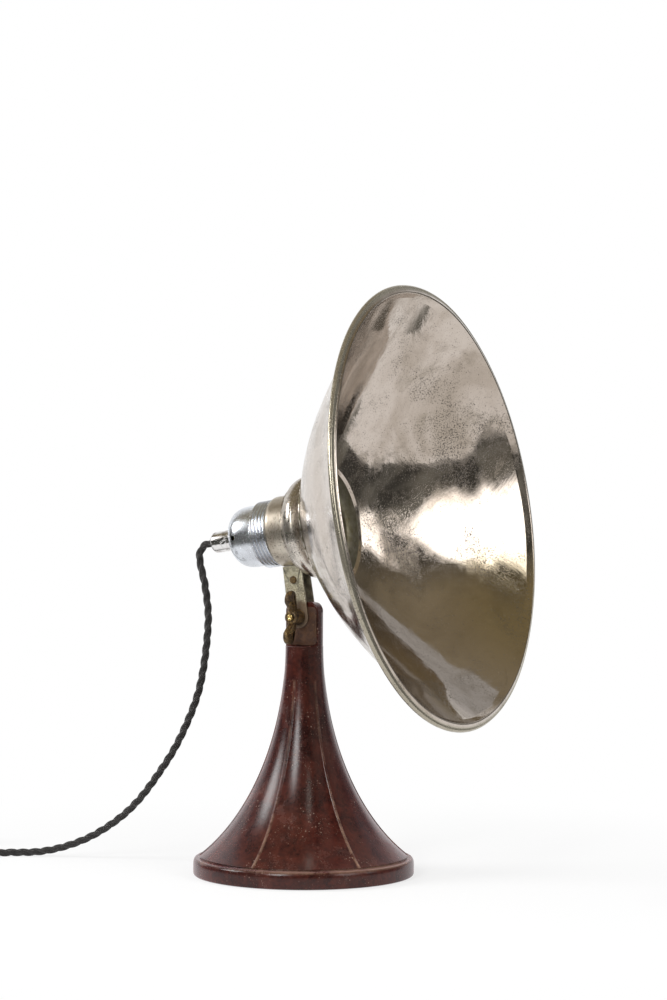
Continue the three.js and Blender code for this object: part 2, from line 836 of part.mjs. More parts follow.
function makeHingeBolt() {
  const headStart = washerOuter + seatGap;
  const outline = [
    [-nutOuter - boltEndBeyondNut, 0],
    [-nutOuter - boltEndBeyondNut, boltRadius],
    [headStart, boltRadius],
    [headStart, boltHeadRadius],
    ...dome(headStart + boltHeadHeight / 4, headStart + boltHeadHeight, boltHeadRadius, boltRadius, 4),
    [headStart + boltHeadHeight, 0],
  ];
  return turnedAcross(outline, smallFacets);
}

function makeWingNut() {
  const ear = new THREE.Shape();
  const tipX = earReach - earTipRadius;
  const rootX = nutTipRadius - earRootInset;
  ear.moveTo(rootX, earRootHigh);
  ear.lineTo(rootX, earRootLow);
  ear.absarc(tipX, earTipRise, earTipRadius, turn(earLowTangent), turn(earHighTangent), false);
  const options = { depth: earThickness, bevelEnabled: false, curveSegments: 12 };
  const blade = new THREE.ExtrudeGeometry(ear, options).translate(0, 0, -earThickness / 2);
  const stand = new THREE.Matrix4().makeBasis(
    new THREE.Vector3(0, 0, 1),
    new THREE.Vector3(0, -1, 0),
    new THREE.Vector3(1, 0, 0),
  );
  blade.applyMatrix4(stand).translate(0, -nutInner, 0);
  const outline = [
    [-nutOuter, 0],
    [-nutOuter, nutTipRadius],
    [-nutInner, nutBaseRadius],
    [-nutInner, 0],
  ];
  const hub = turnedAcross(outline, smallFacets);
  const whole = join(hub, [blade, blade.clone().rotateY(Math.PI)]);
  const bore = barAcross(shankRoom, -nutOuter - overrun, -nutInner + overrun);
  return cut(whole, [bore]).rotateY(turn(earTurn));
}

place("stand", makeStand(), moulding);
place("near_friction_plate", makeFrictionPlate(-1), rustySteel);
place("far_friction_plate", makeFrictionPlate(1), rustySteel);
place("foot_weight", makeWeight(), castIron);
place(
  "cover_plate",
  turnedUp(rod(feltThickness, feltThickness + coverThickness, coverRadius), standFacets),
  rustySteel,
);
place("felt_pad", turnedUp(rod(0, feltThickness, feltRadius), standFacets), greenFelt);
place("tie_rod", turnedUp(rod(tieNutBottom, tieRodTop, tieRodRadius), 12), rustySteel);
place(
  "tie_rod_nut",
  hexNut(tieNutBottom, tieNutTop, tieRodRadius + seatGap, tieNutRadius).rotateX(Math.PI / 2),
  rustySteel,
);
place(
  "tie_rod_washer",
  turnedUp(
    pipe(tieWasherTop - tieWasherThickness, tieWasherTop, tieRodRadius + seatGap, tieWasherRadius),
    smallFacets,
  ),
  rustySteel,
);

place("reflector", makeReflector(), agedNickel, barrel);
place("neck_cup", makeNeckCup(), agedNickel, barrel);
place("shade_ring", makeShadeRing(), zincHolder, barrel);
place("collar", makeCollar(), agedNickel, barrel);
place("holder_skirt", makeSkirt(), zincHolder, barrel);
place("holder_cap", makeHolderCap(), zincHolder, barrel);
place("holder_insert", makeInsert(), porcelain, barrel);
place("screw_shell", makeScrewShell(), oldBrass, barrel);
place(
  "centre_contact",
  turnedBack(
    rod(
      insertFront + insertWellDepth - seatGap - contactRise,
      insertFront + insertWellDepth - seatGap,
      contactRadius,
    ),
    12,
  ),
  boltBrass,
  barrel,
);
place("terminal_screw_near", makeTerminalScrew(-terminalOffset), boltBrass, barrel);
place("terminal_screw_far", makeTerminalScrew(terminalOffset), boltBrass, barrel);
place(
  "threaded_nipple",
  turnedBack(pipe(nippleFront, nippleBack, nippleRadius - nippleWall, nippleRadius), smallFacets),
  boltBrass,
  barrel,
);
place("lock_nut", makeLockNut(), boltBrass, barrel);
place("cord_grip", makeCordGrip(), chromedSteel, barrel);
place(
  "grip_screw",
  barAcross(
    gripScrewRadius,
    -gripRadius - gripScrewProud,
    -gripRadius - gripScrewProud + gripScrewLength,
    -gripScrewBack,
  ),
  chromedSteel,
  barrel,
);

place("near_strap", makeStrap(-1), agedNickel, head);
place("far_strap", makeStrap(1), agedNickel, head);
place("strap_rivet", makeStrapRivet(), oldBrass, head);
place("hinge_bolt", makeHingeBolt(), boltBrass, head);
place(
  "far_washer",
  turnedAcross(pipe(washerInner, washerOuter, shankRoom, washerRadius), smallFacets),
  oldBrass,
  head,
);
place(
  "near_washer",
  turnedAcross(pipe(-washerOuter, -washerInner, shankRoom, washerRadius), smallFacets),
  oldBrass,
  head,
);
place("wing_nut", makeWingNut(), oldBrass, head);

// Cord: a round section carried along a smooth route
function makeStretch(route) {
  const curve = new THREE.CatmullRomCurve3(route, false, "centripetal");
  const section = new THREE.Shape();
  const sides = Array.from({ length: cordSides }, (_, i) => (2 * Math.PI * i) / cordSides);
  section.setFromPoints(
    sides.map((angle) => point(Math.cos(angle), Math.sin(angle)).multiplyScalar(cordDiameter / 2)),
  );
  const length = curve.getLength();
  const steps = Math.round(length / (cordStepDiameters * cordDiameter));
  const geometry = new THREE.ExtrudeGeometry(section, { steps, extrudePath: curve });
  return { geometry, length };
}

lamp.updateMatrixWorld(true);
const cordExit = barrel.localToWorld(new THREE.Vector3(-gripBack - seatGap, 0, 0));
const restHeight = cordDiameter / 2 + cordLift;
const onRoute = ([forwards, sideways, up]) =>
  new THREE.Vector3(
    cordExit.x + forwards * cordExit.z,
    sideways * cordExit.z,
    restHeight + up * (cordExit.z - restHeight),
  );
const dropPoints = dropRouteShares.map(onRoute);
const drop = makeStretch([cordExit, ...dropPoints]);
place("cord_drop", drop.geometry, blackFabric);

const dropEnd = dropPoints[dropPoints.length - 1];
const runPoints = runRouteShares.map(onRoute);
const runStart = dropEnd.clone().lerp(runPoints[0], seatGap / dropEnd.distanceTo(runPoints[0]));
const run = makeStretch([runStart, ...runPoints]);
place("cord_run", run.geometry, blackFabric);

// Coil: loops piled in layers that spiral in and out at a steady rate. It climbs a layer in the half
// turn where the spiral reverses, and its size follows from the cord's length.
const layerTurns = coilTurns / coilLayers;
const coilLength = cordLength - drop.length - run.length - leadLength - cordDiameter;
const coilMeanRadius = coilLength / (2 * Math.PI * coilTurns);
const coilOuterRadius = coilMeanRadius + (coilPitch * layerTurns) / 2;
const startAngle = turn(coilStartAngle);
const startHeading = new THREE.Vector3(Math.sin(startAngle), -Math.cos(startAngle), 0);
const coilEntry = runPoints[runPoints.length - 1]
  .clone()
  .addScaledVector(startHeading, seatGap + cordDiameter);
const coilCentre = new THREE.Vector3(
  coilEntry.x - coilOuterRadius * Math.cos(startAngle),
  coilEntry.y - coilOuterRadius * Math.sin(startAngle),
  cordDiameter / 2,
);

function coilPoint(turns) {
  const phase = turns / layerTurns;
  const inward = 1 - Math.abs(1 - (phase % 2)); // 0 at the coil's outer edge, 1 at its inner edge
  const radius = coilOuterRadius - coilPitch * layerTurns * inward;
  let climbed = 0;
  for (let layer = 1; layer < coilLayers; layer++) {
    climbed += THREE.MathUtils.smoothstep(turns - layer * layerTurns, -1 / 4, 1 / 4);
  }
  const angle = startAngle - 2 * Math.PI * turns;
  return new THREE.Vector3(
    coilCentre.x + radius * Math.cos(angle),
    coilCentre.y + radius * Math.sin(angle),
    coilCentre.z + coilPitch * climbed,
  );
}

// A tube of straight-sided rings round a line of centres, closed at both ends
function ringTube(centres, radius, sides) {
  const places = [];
  const corners = [];
  centres.forEach((centre, i) => {
    const before = centres[Math.max(i - 1, 0)];
    const after = centres[Math.min(i + 1, centres.length - 1)];
    const ahead = after.clone().sub(before).normalize();
    const across = new THREE.Vector3(0, 0, 1).cross(ahead).normalize();
    const up = ahead.clone().cross(across);
    for (let side = 0; side < sides; side++) {
      const angle = (2 * Math.PI * side) / sides;
      const spot = centre.clone().addScaledVector(across, radius * Math.cos(angle));
      places.push(...spot.addScaledVector(up, radius * Math.sin(angle)));
      const next = (side + 1) % sides;
      const [here, there] = [i * sides, (i + 1) * sides];
      if (i < centres.length - 1) {
        corners.push(here + side, here + next, there + side);
        corners.push(here + next, there + next, there + side);
      }
    }
  });
  const last = (centres.length - 1) * sides;
  for (let side = 1; side < sides - 1; side++) {
    corners.push(0, side + 1, side);
    corners.push(last, last + side, last + side + 1);
  }
  const geometry = new THREE.BufferGeometry();
  geometry.setAttribute("position", new THREE.Float32BufferAttribute(places, 3));
  geometry.setIndex(corners);
  return geometry;
}

// The least room between two loops, measured on the line of centres
function leastGap(centres, diameter, neighbours) {
  let least = Infinity;
  centres.forEach((a, i) => {
    centres.slice(i + neighbours).forEach((b) => {
      least = Math.min(least, a.distanceTo(b) - diameter);
    });
  });
  return least;
}

const coilSteps = Math.round(coilTurns * loopSteps);
const loops = Array.from({ length: coilSteps + 1 }, (_, i) => coilPoint((coilTurns * i) / coilSteps));
const headingAtEnd = loops[coilSteps]
  .clone()
  .sub(loops[coilSteps - 1])
  .setZ(0)
  .normalize();
const coilStart = coilEntry.clone().addScaledVector(startHeading, -cordDiameter);
const leadEnd = loops[coilSteps].clone().addScaledVector(headingAtEnd, leadLength).setZ(plugRadius);
const leadMiddle = loops[coilSteps].clone().lerp(leadEnd, 1 / 2);
const coilCentres = [coilStart, ...loops, leadMiddle, leadEnd];
place("cord_coil", ringTube(coilCentres, cordDiameter / 2, loopSides), blackFabric);
const gap = leastGap(loops, cordDiameter, Math.round(loopSteps / 2));
console.log("least gap between loops " + gap.toFixed(2) + " mm");
console.log("coil " + (2 * coilOuterRadius + cordDiameter).toFixed(1) + " mm across");
console.log("drop " + drop.length.toFixed(1) + ", run " + run.length.toFixed(1) + " mm");

// Plug, lying on its side with its axis level
const plug = new THREE.Group();
plug.position.copy(leadEnd).addScaledVector(headingAtEnd, seatGap);
plug.rotation.z = Math.atan2(headingAtEnd.y, headingAtEnd.x);
lamp.add(plug);

function makePlugBody() {
  const shoulder = plugNeckLength + plugEdgeRadius;
  const faceEdge = plugNeckLength + plugBodyLength;
  const outline = [
    [0, 0],
    [0, plugNeckRadius],
    [plugNeckLength, plugNeckRadius],
    [plugNeckLength, plugRadius - plugEdgeRadius],
    ...roundEdge(shoulder, plugRadius - plugEdgeRadius, plugEdgeRadius, plugEdgeStart, 0, 2),
    [faceEdge, plugRadius],
    [faceEdge, 0],
  ];
  const holes = [-pinSpacing / 2, pinSpacing / 2].map((offset) =>
    revolve(rod(faceEdge - pinRootLength - seatGap, faceEdge + overrun, pinRadius + seatGap), 12)
      .rotateZ(-Math.PI / 2)
      .translate(0, offset, 0),
  );
  return cut(revolve(outline, holderFacets).rotateZ(-Math.PI / 2), holes);
}

function makePin(offset) {
  const face = plugNeckLength + plugBodyLength;
  const tip = face + pinLength;
  const outline = [
    [face - pinRootLength, 0],
    [face - pinRootLength, pinRadius],
    [tip - pinRadius / 2, pinRadius],
    [tip, pinRadius / 2],
    [tip, 0],
  ];
  return revolve(outline, 12).rotateZ(-Math.PI / 2).translate(0, offset, 0);
}

place("plug_body", makePlugBody(), moulding, plug);
place("plug_pin_left", makePin(pinSpacing / 2), boltBrass, plug);
place("plug_pin_right", makePin(-pinSpacing / 2), boltBrass, plug);

export default lamp;
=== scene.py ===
import math
import bmesh
import bpy
import numpy as np
from mathutils import Matrix, Vector


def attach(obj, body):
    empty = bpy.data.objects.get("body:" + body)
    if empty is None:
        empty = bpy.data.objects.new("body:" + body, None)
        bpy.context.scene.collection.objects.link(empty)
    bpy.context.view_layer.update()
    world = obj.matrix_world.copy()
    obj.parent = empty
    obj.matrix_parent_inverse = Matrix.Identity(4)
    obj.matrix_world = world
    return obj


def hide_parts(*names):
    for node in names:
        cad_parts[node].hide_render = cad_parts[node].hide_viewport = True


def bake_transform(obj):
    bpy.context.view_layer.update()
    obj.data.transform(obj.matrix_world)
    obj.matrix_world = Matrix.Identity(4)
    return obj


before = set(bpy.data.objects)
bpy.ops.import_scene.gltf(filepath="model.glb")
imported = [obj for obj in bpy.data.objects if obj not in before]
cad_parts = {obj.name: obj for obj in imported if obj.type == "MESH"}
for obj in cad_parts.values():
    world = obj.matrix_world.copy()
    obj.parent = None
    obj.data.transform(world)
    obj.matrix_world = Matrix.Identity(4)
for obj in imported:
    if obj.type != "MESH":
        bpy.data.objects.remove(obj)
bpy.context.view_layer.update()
mm = 0.001
print("frame loaded")

scene = bpy.context.scene
scene.view_settings.view_transform = "Standard"

# The camera stands to the front right of the lamp, a little above half its height
cameraView = {
    "place": (0.75427, -1.38688, 0.236),
    "right": (0.88365, 0.46813, 0.00389),
    "up": (-0.00603, 0.00307, 0.99998),
    "back": (0.46811, -0.88366, 0.00553),
    "lens": 93.6,
}
cameraData = bpy.data.cameras.new("photoCamera")
cameraData.lens = cameraView["lens"]
camera = bpy.data.objects.new("photoCamera", cameraData)
scene.collection.objects.link(camera)
turned = Matrix((cameraView["right"], cameraView["up"], cameraView["back"])).transposed()
camera.rotation_euler = turned.to_euler()
camera.location = cameraView["place"]
scene.camera = camera


# One number or colour on its way through a material's nodes. Arithmetic on it adds Math nodes
class Wire:
    def __init__(self, tree, socket=None):
        self.tree = tree
        self.socket = socket

    # a new node in this wire's material: its settings first, then the values or wires of its sockets
    def node(self, kind, settings=None, sockets=None, output=0):
        made = self.tree.nodes.new(kind)
        for name, value in (settings or {}).items():
            setattr(made, name, value)
        for name, value in (sockets or {}).items():
            if isinstance(value, Wire):
                self.tree.links.new(value.socket, made.inputs[name])
            else:
                made.inputs[name].default_value = value
        return Wire(self.tree, made.outputs[output] if len(made.outputs) else None)

    def maths(self, operation, *values):
        return self.node("ShaderNodeMath", {"operation": operation}, dict(enumerate(values)))

    def __add__(self, other):
        return self.maths("ADD", self, other)

    def __radd__(self, other):
        return self.maths("ADD", other, self)

    def __sub__(self, other):
        return self.maths("SUBTRACT", self, other)

    def __rsub__(self, other):
        return self.maths("SUBTRACT", other, self)

    def __mul__(self, other):
        return self.maths("MULTIPLY", self, other)

    def __rmul__(self, other):
        return self.maths("MULTIPLY", other, self)

    def __pow__(self, other):
        return self.maths("POWER", self, other)

    def __rpow__(self, other):
        return self.maths("POWER", other, self)

    def __abs__(self):
        return self.maths("ABSOLUTE", self)

    def larger(self, other):
        return self.maths("MAXIMUM", self, other)

    # 0 below low, 1 above high, and a smooth rise between them
    def between(self, low, high):
        settings = {"interpolation_type": "SMOOTHSTEP"}
        return self.node("ShaderNodeMapRange", settings, {"Value": self, "From Min": low, "From Max": high})

    # for a wire that is a place: how far it is from a point, and its X, Y and Z
    def distanceTo(self, point):
        return self.node("ShaderNodeVectorMath", {"operation": "DISTANCE"}, {0: self, 1: point}, 1)

    def parts(self):
        split = self.node("ShaderNodeSeparateXYZ", None, {0: self}).socket.node
        return [Wire(self.tree, socket) for socket in split.outputs]

    def noise(self, scale, detail=3.0, roughness=0.55, distortion=0.0):
        values = {"Scale": scale, "Detail": detail, "Roughness": roughness, "Distortion": distortion}
        return self.node("ShaderNodeTexNoise", None, {"Vector": self, **values})

    def cells(self, scale):
        return self.node("ShaderNodeTexVoronoi", None, {"Vector": self, "Scale": scale})


# The first colour where factor is 0, the second where it is 1
def mixColour(first, second, factor):
    wire = next(value for value in (first, second, factor) if isinstance(value, Wire))
    values = [value if isinstance(value, Wire) else (*value, 1) for value in (first, second)]
    return wire.node("ShaderNodeMix", {"data_type": "RGBA"}, {0: factor, 6: values[0], 7: values[1]}, 2)


# A new material, its Principled shader with what is the same all over, and the Object coordinates
def startFinish(name, **fixed):
    material = bpy.data.materials.new(name)
    material.use_nodes = True
    tree = material.node_tree
    shader = tree.nodes["Principled BSDF"]
    for socket, value in fixed.items():
        shader.inputs[socket.replace("_", " ")].default_value = value
    return material, shader, objectPlace(tree)


# A new material without nodes, for what lights the scene
def startGlow(name):
    material = bpy.data.materials.new(name)
    material.use_nodes = True
    material.node_tree.nodes.clear()
    return material, objectPlace(material.node_tree)


def objectPlace(tree):
    return Wire(tree).node("ShaderNodeTexCoord", output=3)


# What changes over a surface
def feed(shader, **wires):
    for socket, wire in wires.items():
        wire.tree.links.new(wire.socket, shader.inputs[socket.replace("_", " ")])


def bumpFrom(height, strength, distance):
    values = {"Height": height, "Strength": strength, "Distance": distance}
    return height.node("ShaderNodeBump", None, values)


weldDistance = 1e-6
collapseDistance = 1e-8


# A surface from a grid of points: rows of places joined by four-sided faces. Edges that meet are
# welded, and what has no area is taken out. It may carry how worn each point is, and for a pattern
# that follows it, how far along and around each point lies
def surface(name, grid, material, body, along=None, around=None, wear=None):
    grid = np.asarray(grid, float)
    rows, columns = grid.shape[:2]
    index = np.arange(rows * columns).reshape(rows, columns)
    corners = (index[:-1, :-1], index[:-1, 1:], index[1:, 1:], index[1:, :-1])
    quads = np.stack(corners, axis=-1).reshape(-1, 4)
    mesh = bpy.data.meshes.new(name)
    mesh.vertices.add(rows * columns)
    mesh.vertices.foreach_set("co", grid.reshape(-1, 3).astype(np.float32).ravel())
    mesh.loops.add(quads.size)
    mesh.loops.foreach_set("vertex_index", quads.ravel())
    mesh.polygons.add(len(quads))
    mesh.polygons.foreach_set("loop_start", np.arange(0, quads.size, 4))
    mesh.update(calc_edges=True)
    if along is not None:
        layer = mesh.uv_layers.new(name="surface")
        places = np.stack([np.broadcast_to(values, (rows, columns)) for values in (around, along)], axis=-1)
        layer.data.foreach_set("uv", places.reshape(-1, 2)[quads.ravel()].astype(np.float32).ravel())
    if wear is not None:
        attribute = mesh.attributes.new("wear", "FLOAT", "POINT")
        spread = np.broadcast_to(wear, (rows, columns)).astype(np.float32)
        attribute.data.foreach_set("value", spread.ravel())
    work = bmesh.new()
    work.from_mesh(mesh)
    bmesh.ops.remove_doubles(work, verts=work.verts, dist=weldDistance)
    bmesh.ops.dissolve_degenerate(work, edges=work.edges, dist=collapseDistance)
    bmesh.ops.recalc_face_normals(work, faces=work.faces)
    if work.calc_volume(signed=True) < 0:
        bmesh.ops.reverse_faces(work, faces=work.faces)
    work.to_mesh(mesh)
    work.free()
    mesh.shade_smooth()
    return finishPiece(bpy.data.objects.new(name, mesh), material, body)


# Gives a piece its material, its slot and the body that it rides on
def finishPiece(piece, material, body):
    if piece.name not in scene.collection.objects:
        scene.collection.objects.link(piece)
    piece.data.materials.clear()
    piece.data.materials.append(material)
    if body:
        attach(piece, body)
    return piece


# Several surfaces as one piece
def joined(name, pieces):
    work = bmesh.new()
    for piece in pieces:
        work.from_mesh(piece.data)
    mesh = bpy.data.meshes.new(name)
    work.to_mesh(mesh)
    work.free()
    mesh.shade_smooth()
    for material in pieces[0].data.materials:
        mesh.materials.append(material)
    whole = bpy.data.objects.new(name, mesh)
    scene.collection.objects.link(whole)
    for piece in pieces:
        bpy.data.objects.remove(piece, do_unlink=True)
    return whole


# The hinge in the stand's frame, how far the head looks up, and the reflector's axis and rim from
# the hinge, in millimetres and degrees
hingeFrame = {"x": -1.5, "height": 156.4, "tilt": 8.56, "axisRise": 52.65, "rimForward": 100.15}


# Points of the head, from the hinge in millimetres, turned nose up and put on the stand, in metres
def fromHinge(points):
    points = np.asarray(points, float)
    tilt = math.radians(hingeFrame["tilt"])
    x = hingeFrame["x"] + points[..., 0] * math.cos(tilt) - points[..., 2] * math.sin(tilt)
    z = hingeFrame["height"] + points[..., 0] * math.sin(tilt) + points[..., 2] * math.cos(tilt)
    return np.stack((x, points[..., 1], z), axis=-1) * mm


# Points round the reflector's axis, back from its rim
def fromRim(points):
    return fromHinge(np.asarray(points, float) + (hingeFrame["rimForward"], 0, hingeFrame["axisRise"]))


def circle(steps):
    return np.linspace(0, 2 * math.pi, steps + 1)


# A profile of places along an axis and radii, turned right round it: x is the axis, y and z the
# cosine and sine of the angle times the radius
def turnedAlong(profile, steps):
    along, radius = np.asarray(profile, float).T
    angle = circle(steps)
    across = radius[:, None]
    along = np.repeat(along[:, None], steps + 1, axis=1)
    return np.stack((along, across * np.cos(angle), across * np.sin(angle)), axis=-1)


# The same profile turned round the reflector's axis, and round a line along Y
def turnedBack(profile, steps):
    return fromRim(turnedAlong(profile, steps) * (-1, 1, 1))


def turnedAcross(profile, steps):
    return turnedAlong(profile, steps)[..., [1, 0, 2]]


mostOfSide = 0.49  # of a side that the round at one of its corners may take


# An outline with its corners rounded: each corner is a point and how far from it the round starts,
# and the round is the parabola that leaves along one side and arrives along the other
def rounded(corners, steps=5, closed=True):
    places = np.array([corner[:2] for corner in corners], float)
    sizes = [corner[2] if len(corner) > 2 else 0 for corner in corners]
    line = []
    share = np.linspace(0, 1, steps + 1)[:, None]
    for i, (place, size) in enumerate(zip(places, sizes)):
        openEnd = not closed and i in (0, len(places) - 1)
        if not size or openEnd:
            line.append(place[None])
            continue
        start, end = [
            place + side / np.linalg.norm(side) * min(size, np.linalg.norm(side) * mostOfSide)
            for side in (places[i - 1] - place, places[(i + 1) % len(places)] - place)
        ]
        line.append((1 - share) ** 2 * start + 2 * share * (1 - share) * place + share**2 * end)
    line = np.concatenate(line)
    return np.concatenate((line, line[:1])) if closed else line


# A cubic from a to b that starts with slope da and ends with slope db, at t from 0 to 1
def cubic(a, b, da, db, t):
    return (
        (2 * t**3 - 3 * t**2 + 1) * a
        + (t**3 - 2 * t**2 + t) * da
        + (3 * t**2 - 2 * t**3) * b
        + (t**3 - t**2) * db
    )


# The cubics that pass through every point, their slope at each half the way between its neighbours
def smoothLine(points, steps):
    points = np.asarray(points, float)
    before = np.concatenate((points[:1], points[:-1]))
    after = np.concatenate((points[1:], points[-1:]))
    slope = (after - before) / 2
    place = np.linspace(0, len(points) - 1, steps + 1)
    low = np.minimum(place.astype(int), len(points) - 2)
    return cubic(points[low], points[low + 1], slope[low], slope[low + 1], (place - low)[:, None])


# A line moved sideways by a distance, to its left as it runs
def offsetLine(line, distance):
    heading = np.gradient(line, axis=0)
    heading /= np.linalg.norm(heading, axis=1)[:, None]
    return line + np.stack((-heading[:, 1], heading[:, 0]), axis=-1) * distance


# A flat plate: its outline in X and Z is carried across its thickness along Y, drawn in at both
# faces by a round edge, and closed towards its middle
def plate(outline, thickness, edge, middle, steps=4):
    outline = np.asarray(outline, float)
    heading = np.roll(outline[:-1], -1, axis=0) - np.roll(outline[:-1], 1, axis=0)
    heading /= np.linalg.norm(heading, axis=1)[:, None]
    inward = np.stack((-heading[:, 1], heading[:, 0]), axis=-1)
    inward = np.concatenate((inward, inward[:1]))
    if np.sum((np.asarray(middle) - outline[0]) * inward[0]) < 0:
        inward = -inward
    angle = np.linspace(0, math.pi / 2, steps + 1)
    drawn = np.concatenate(([3 * edge], edge * (1 - np.sin(angle))))  # a ring on the face, then the edge
    depth = np.concatenate(([0], edge * (1 - np.cos(angle))))
    drawn = np.concatenate((drawn, drawn[::-1]))
    depth = np.concatenate((depth, thickness - depth[::-1]))
    rings = outline[None] + inward[None] * drawn[:, None, None]
    centre = np.broadcast_to(np.asarray(middle, float), rings[:1].shape)
    rings = np.concatenate((centre, rings, centre))
    depth = np.concatenate((depth[:1], depth, depth[-1:]))
    across = np.broadcast_to(depth[:, None], rings.shape[:2])
    return np.stack((rings[..., 0], across, rings[..., 1]), axis=-1)


# Cord: three strands of covered wire twisted together, put away as a piled coil beside the lamp.
# Lengths are in millimetres here and in every piece below
cord = {
    "diameter": 4.8,
    "length": 1800,
    "exitBack": 155.6,
    "coilTurns": 8.46,
    "coilLayers": 4,
    "coilPitch": 5.3,
    "coilStartAngle": -32,
    "coilPoints": 900,
    "entryGap": 0.3,  # beside a cord's width, between the run's last point and the coil
    "entryLength": 8.1,
    "leadLength": 20,
    "plugHeight": 18.3,
    "twistLength": 22.5,
    "strandRadius": 1.24,
    "strandOffset": 1.2,
    "thinnest": 0.05,  # square of the least that a strand's skin rises over its middle
    "step": 1.3,
    "stepsBetween": 40,
    "pathStep": 2.6,
    "around": 24,
    "threads": 9,
    "threadSlant": 1.3,
}
dropRoute = [
    (-70.2, 0, 199), (-74.2, 0, 193.4), (-73.2, 0, 185), (-70.9, 0, 176.6), (-69, 0, 166),
    (-67.9, 0, 156), (-68.2, 0, 146.6), (-69.1, 0, 137), (-70.4, 0, 127.6), (-72.2, 0, 117.8),
    (-74.7, 0, 108), (-78.4, 0, 98), (-83.4, 0, 87.2), (-88.8, 0, 77), (-95.3, 0, 66.6),
    (-102.4, 0, 57), (-110.2, 0, 47), (-118.4, -0.2, 37.7), (-128, -0.9, 28.7), (-139.6, -2.9, 20),
    (-151.2, -5.8, 13), (-162.6, -9.3, 8), (-173.3, -13.1, 4.7), (-183, -17, 2.9), (-191.2, -21, 2.42),
]
runRoute = [
    (-198, -25.4, 2.42), (-203.8, -31.4, 2.42), (-208.6, -39, 2.42), (-213.4, -47.6, 2.42),
    (-218.5, -56.6, 2.42), (-223.6, -65.2, 2.42), (-228.6, -73.6, 2.42),
]


# A smooth curve through points, with more room between points that lie further apart: between two
# points it is the blend of the parabolas through their neighbours, timed by the root of each distance
def routeCurve(points, step):
    points = np.asarray(points, float)
    first, last = 2 * points[0] - points[1], 2 * points[-1] - points[-2]
    p = np.concatenate((first[None], points, last[None]))
    gap = np.sqrt(np.linalg.norm(np.diff(p, axis=0), axis=1))
    fine = []
    for i in range(1, len(p) - 2):
        a, b, c = gap[i - 1], gap[i], gap[i + 1]
        slopeIn = ((p[i] - p[i - 1]) / a - (p[i + 1] - p[i - 1]) / (a + b) + (p[i + 1] - p[i]) / b) * b
        slopeOut = ((p[i + 1] - p[i]) / b - (p[i + 2] - p[i]) / (b + c) + (p[i + 2] - p[i + 1]) / c) * b
        t = np.linspace(0, 1, cord["stepsBetween"], endpoint=i == len(p) - 3)[:, None]
        fine.append(cubic(p[i], p[i + 1], slopeIn, slopeOut, t))
    return evenly(np.concatenate(fine), step)


# The same line with its points a step apart, measured along it
def evenly(line, step):
    run = np.concatenate(([0], np.cumsum(np.linalg.norm(np.diff(line, axis=0), axis=1))))
    places = np.linspace(0, run[-1], max(2, round(run[-1] / step)) + 1)
    return np.stack([np.interp(places, run, line[:, axis]) for axis in range(3)], axis=-1)


def lineLength(line):
    return float(np.sum(np.linalg.norm(np.diff(line, axis=0), axis=1)))


# The coil's line: its radius falls and rises at a steady rate, a layer each way, and it climbs a
# layer in the half turn where it reverses
def coilLine(entryPoint, startAngle, length, steps):
    layerTurns = cord["coilTurns"] / cord["coilLayers"]
    outer = length / (2 * math.pi * cord["coilTurns"]) + cord["coilPitch"] * layerTurns / 2
    turns = np.linspace(0, cord["coilTurns"], steps)
    phase = turns / layerTurns
    radius = outer - cord["coilPitch"] * layerTurns * (1 - np.abs(1 - phase % 2))
    climbed = np.zeros(steps)
    for layer in range(1, cord["coilLayers"]):
        rise = np.clip((turns - layer * layerTurns + 0.25) / 0.5, 0, 1)
        climbed += rise**2 * (3 - 2 * rise)
    angle = startAngle - 2 * math.pi * turns
    centreX = entryPoint[0] - outer * math.cos(startAngle)
    centreY = entryPoint[1] - outer * math.sin(startAngle)
    height = cord["diameter"] / 2 + cord["coilPitch"] * climbed
    return np.stack((centreX + radius * np.cos(angle), centreY + radius * np.sin(angle), height), axis=-1)


# The whole route: down from the cord grip, along the table, round the coil and up to the plug
cordExit = fromRim(np.array((-cord["exitBack"], 0, 0))) / mm
freePart = routeCurve([cordExit, *dropRoute, *runRoute], cord["step"])
startAngle = math.radians(cord["coilStartAngle"])
startHeading = np.array((math.sin(startAngle), -math.cos(startAngle), 0))
coilEntry = np.array(runRoute[-1]) + startHeading * (cord["entryGap"] + cord["diameter"])
dropLength = lineLength(routeCurve([cordExit, *dropRoute], cord["step"]))
runLength = lineLength(routeCurve(runRoute, cord["step"])) + cord["entryLength"]
coilLength = cord["length"] - dropLength - runLength - cord["leadLength"] - cord["diameter"]
coil = coilLine(coilEntry, startAngle, coilLength, cord["coilPoints"])
endHeading = coil[-1] - coil[-2]
endHeading[2] = 0
endHeading /= np.linalg.norm(endHeading)
leadEnd = coil[-1] + endHeading * cord["leadLength"]
leadEnd[2] = cord["plugHeight"]
lead = [coil[-1] + (leadEnd - coil[-1]) * share for share in (0.35, 0.7, 1.0)]
route = evenly(np.concatenate((freePart, coil, lead)), cord["step"])
print("cord %.0f mm long, drop %.1f, run %.1f" % (lineLength(route), dropLength, runLength))


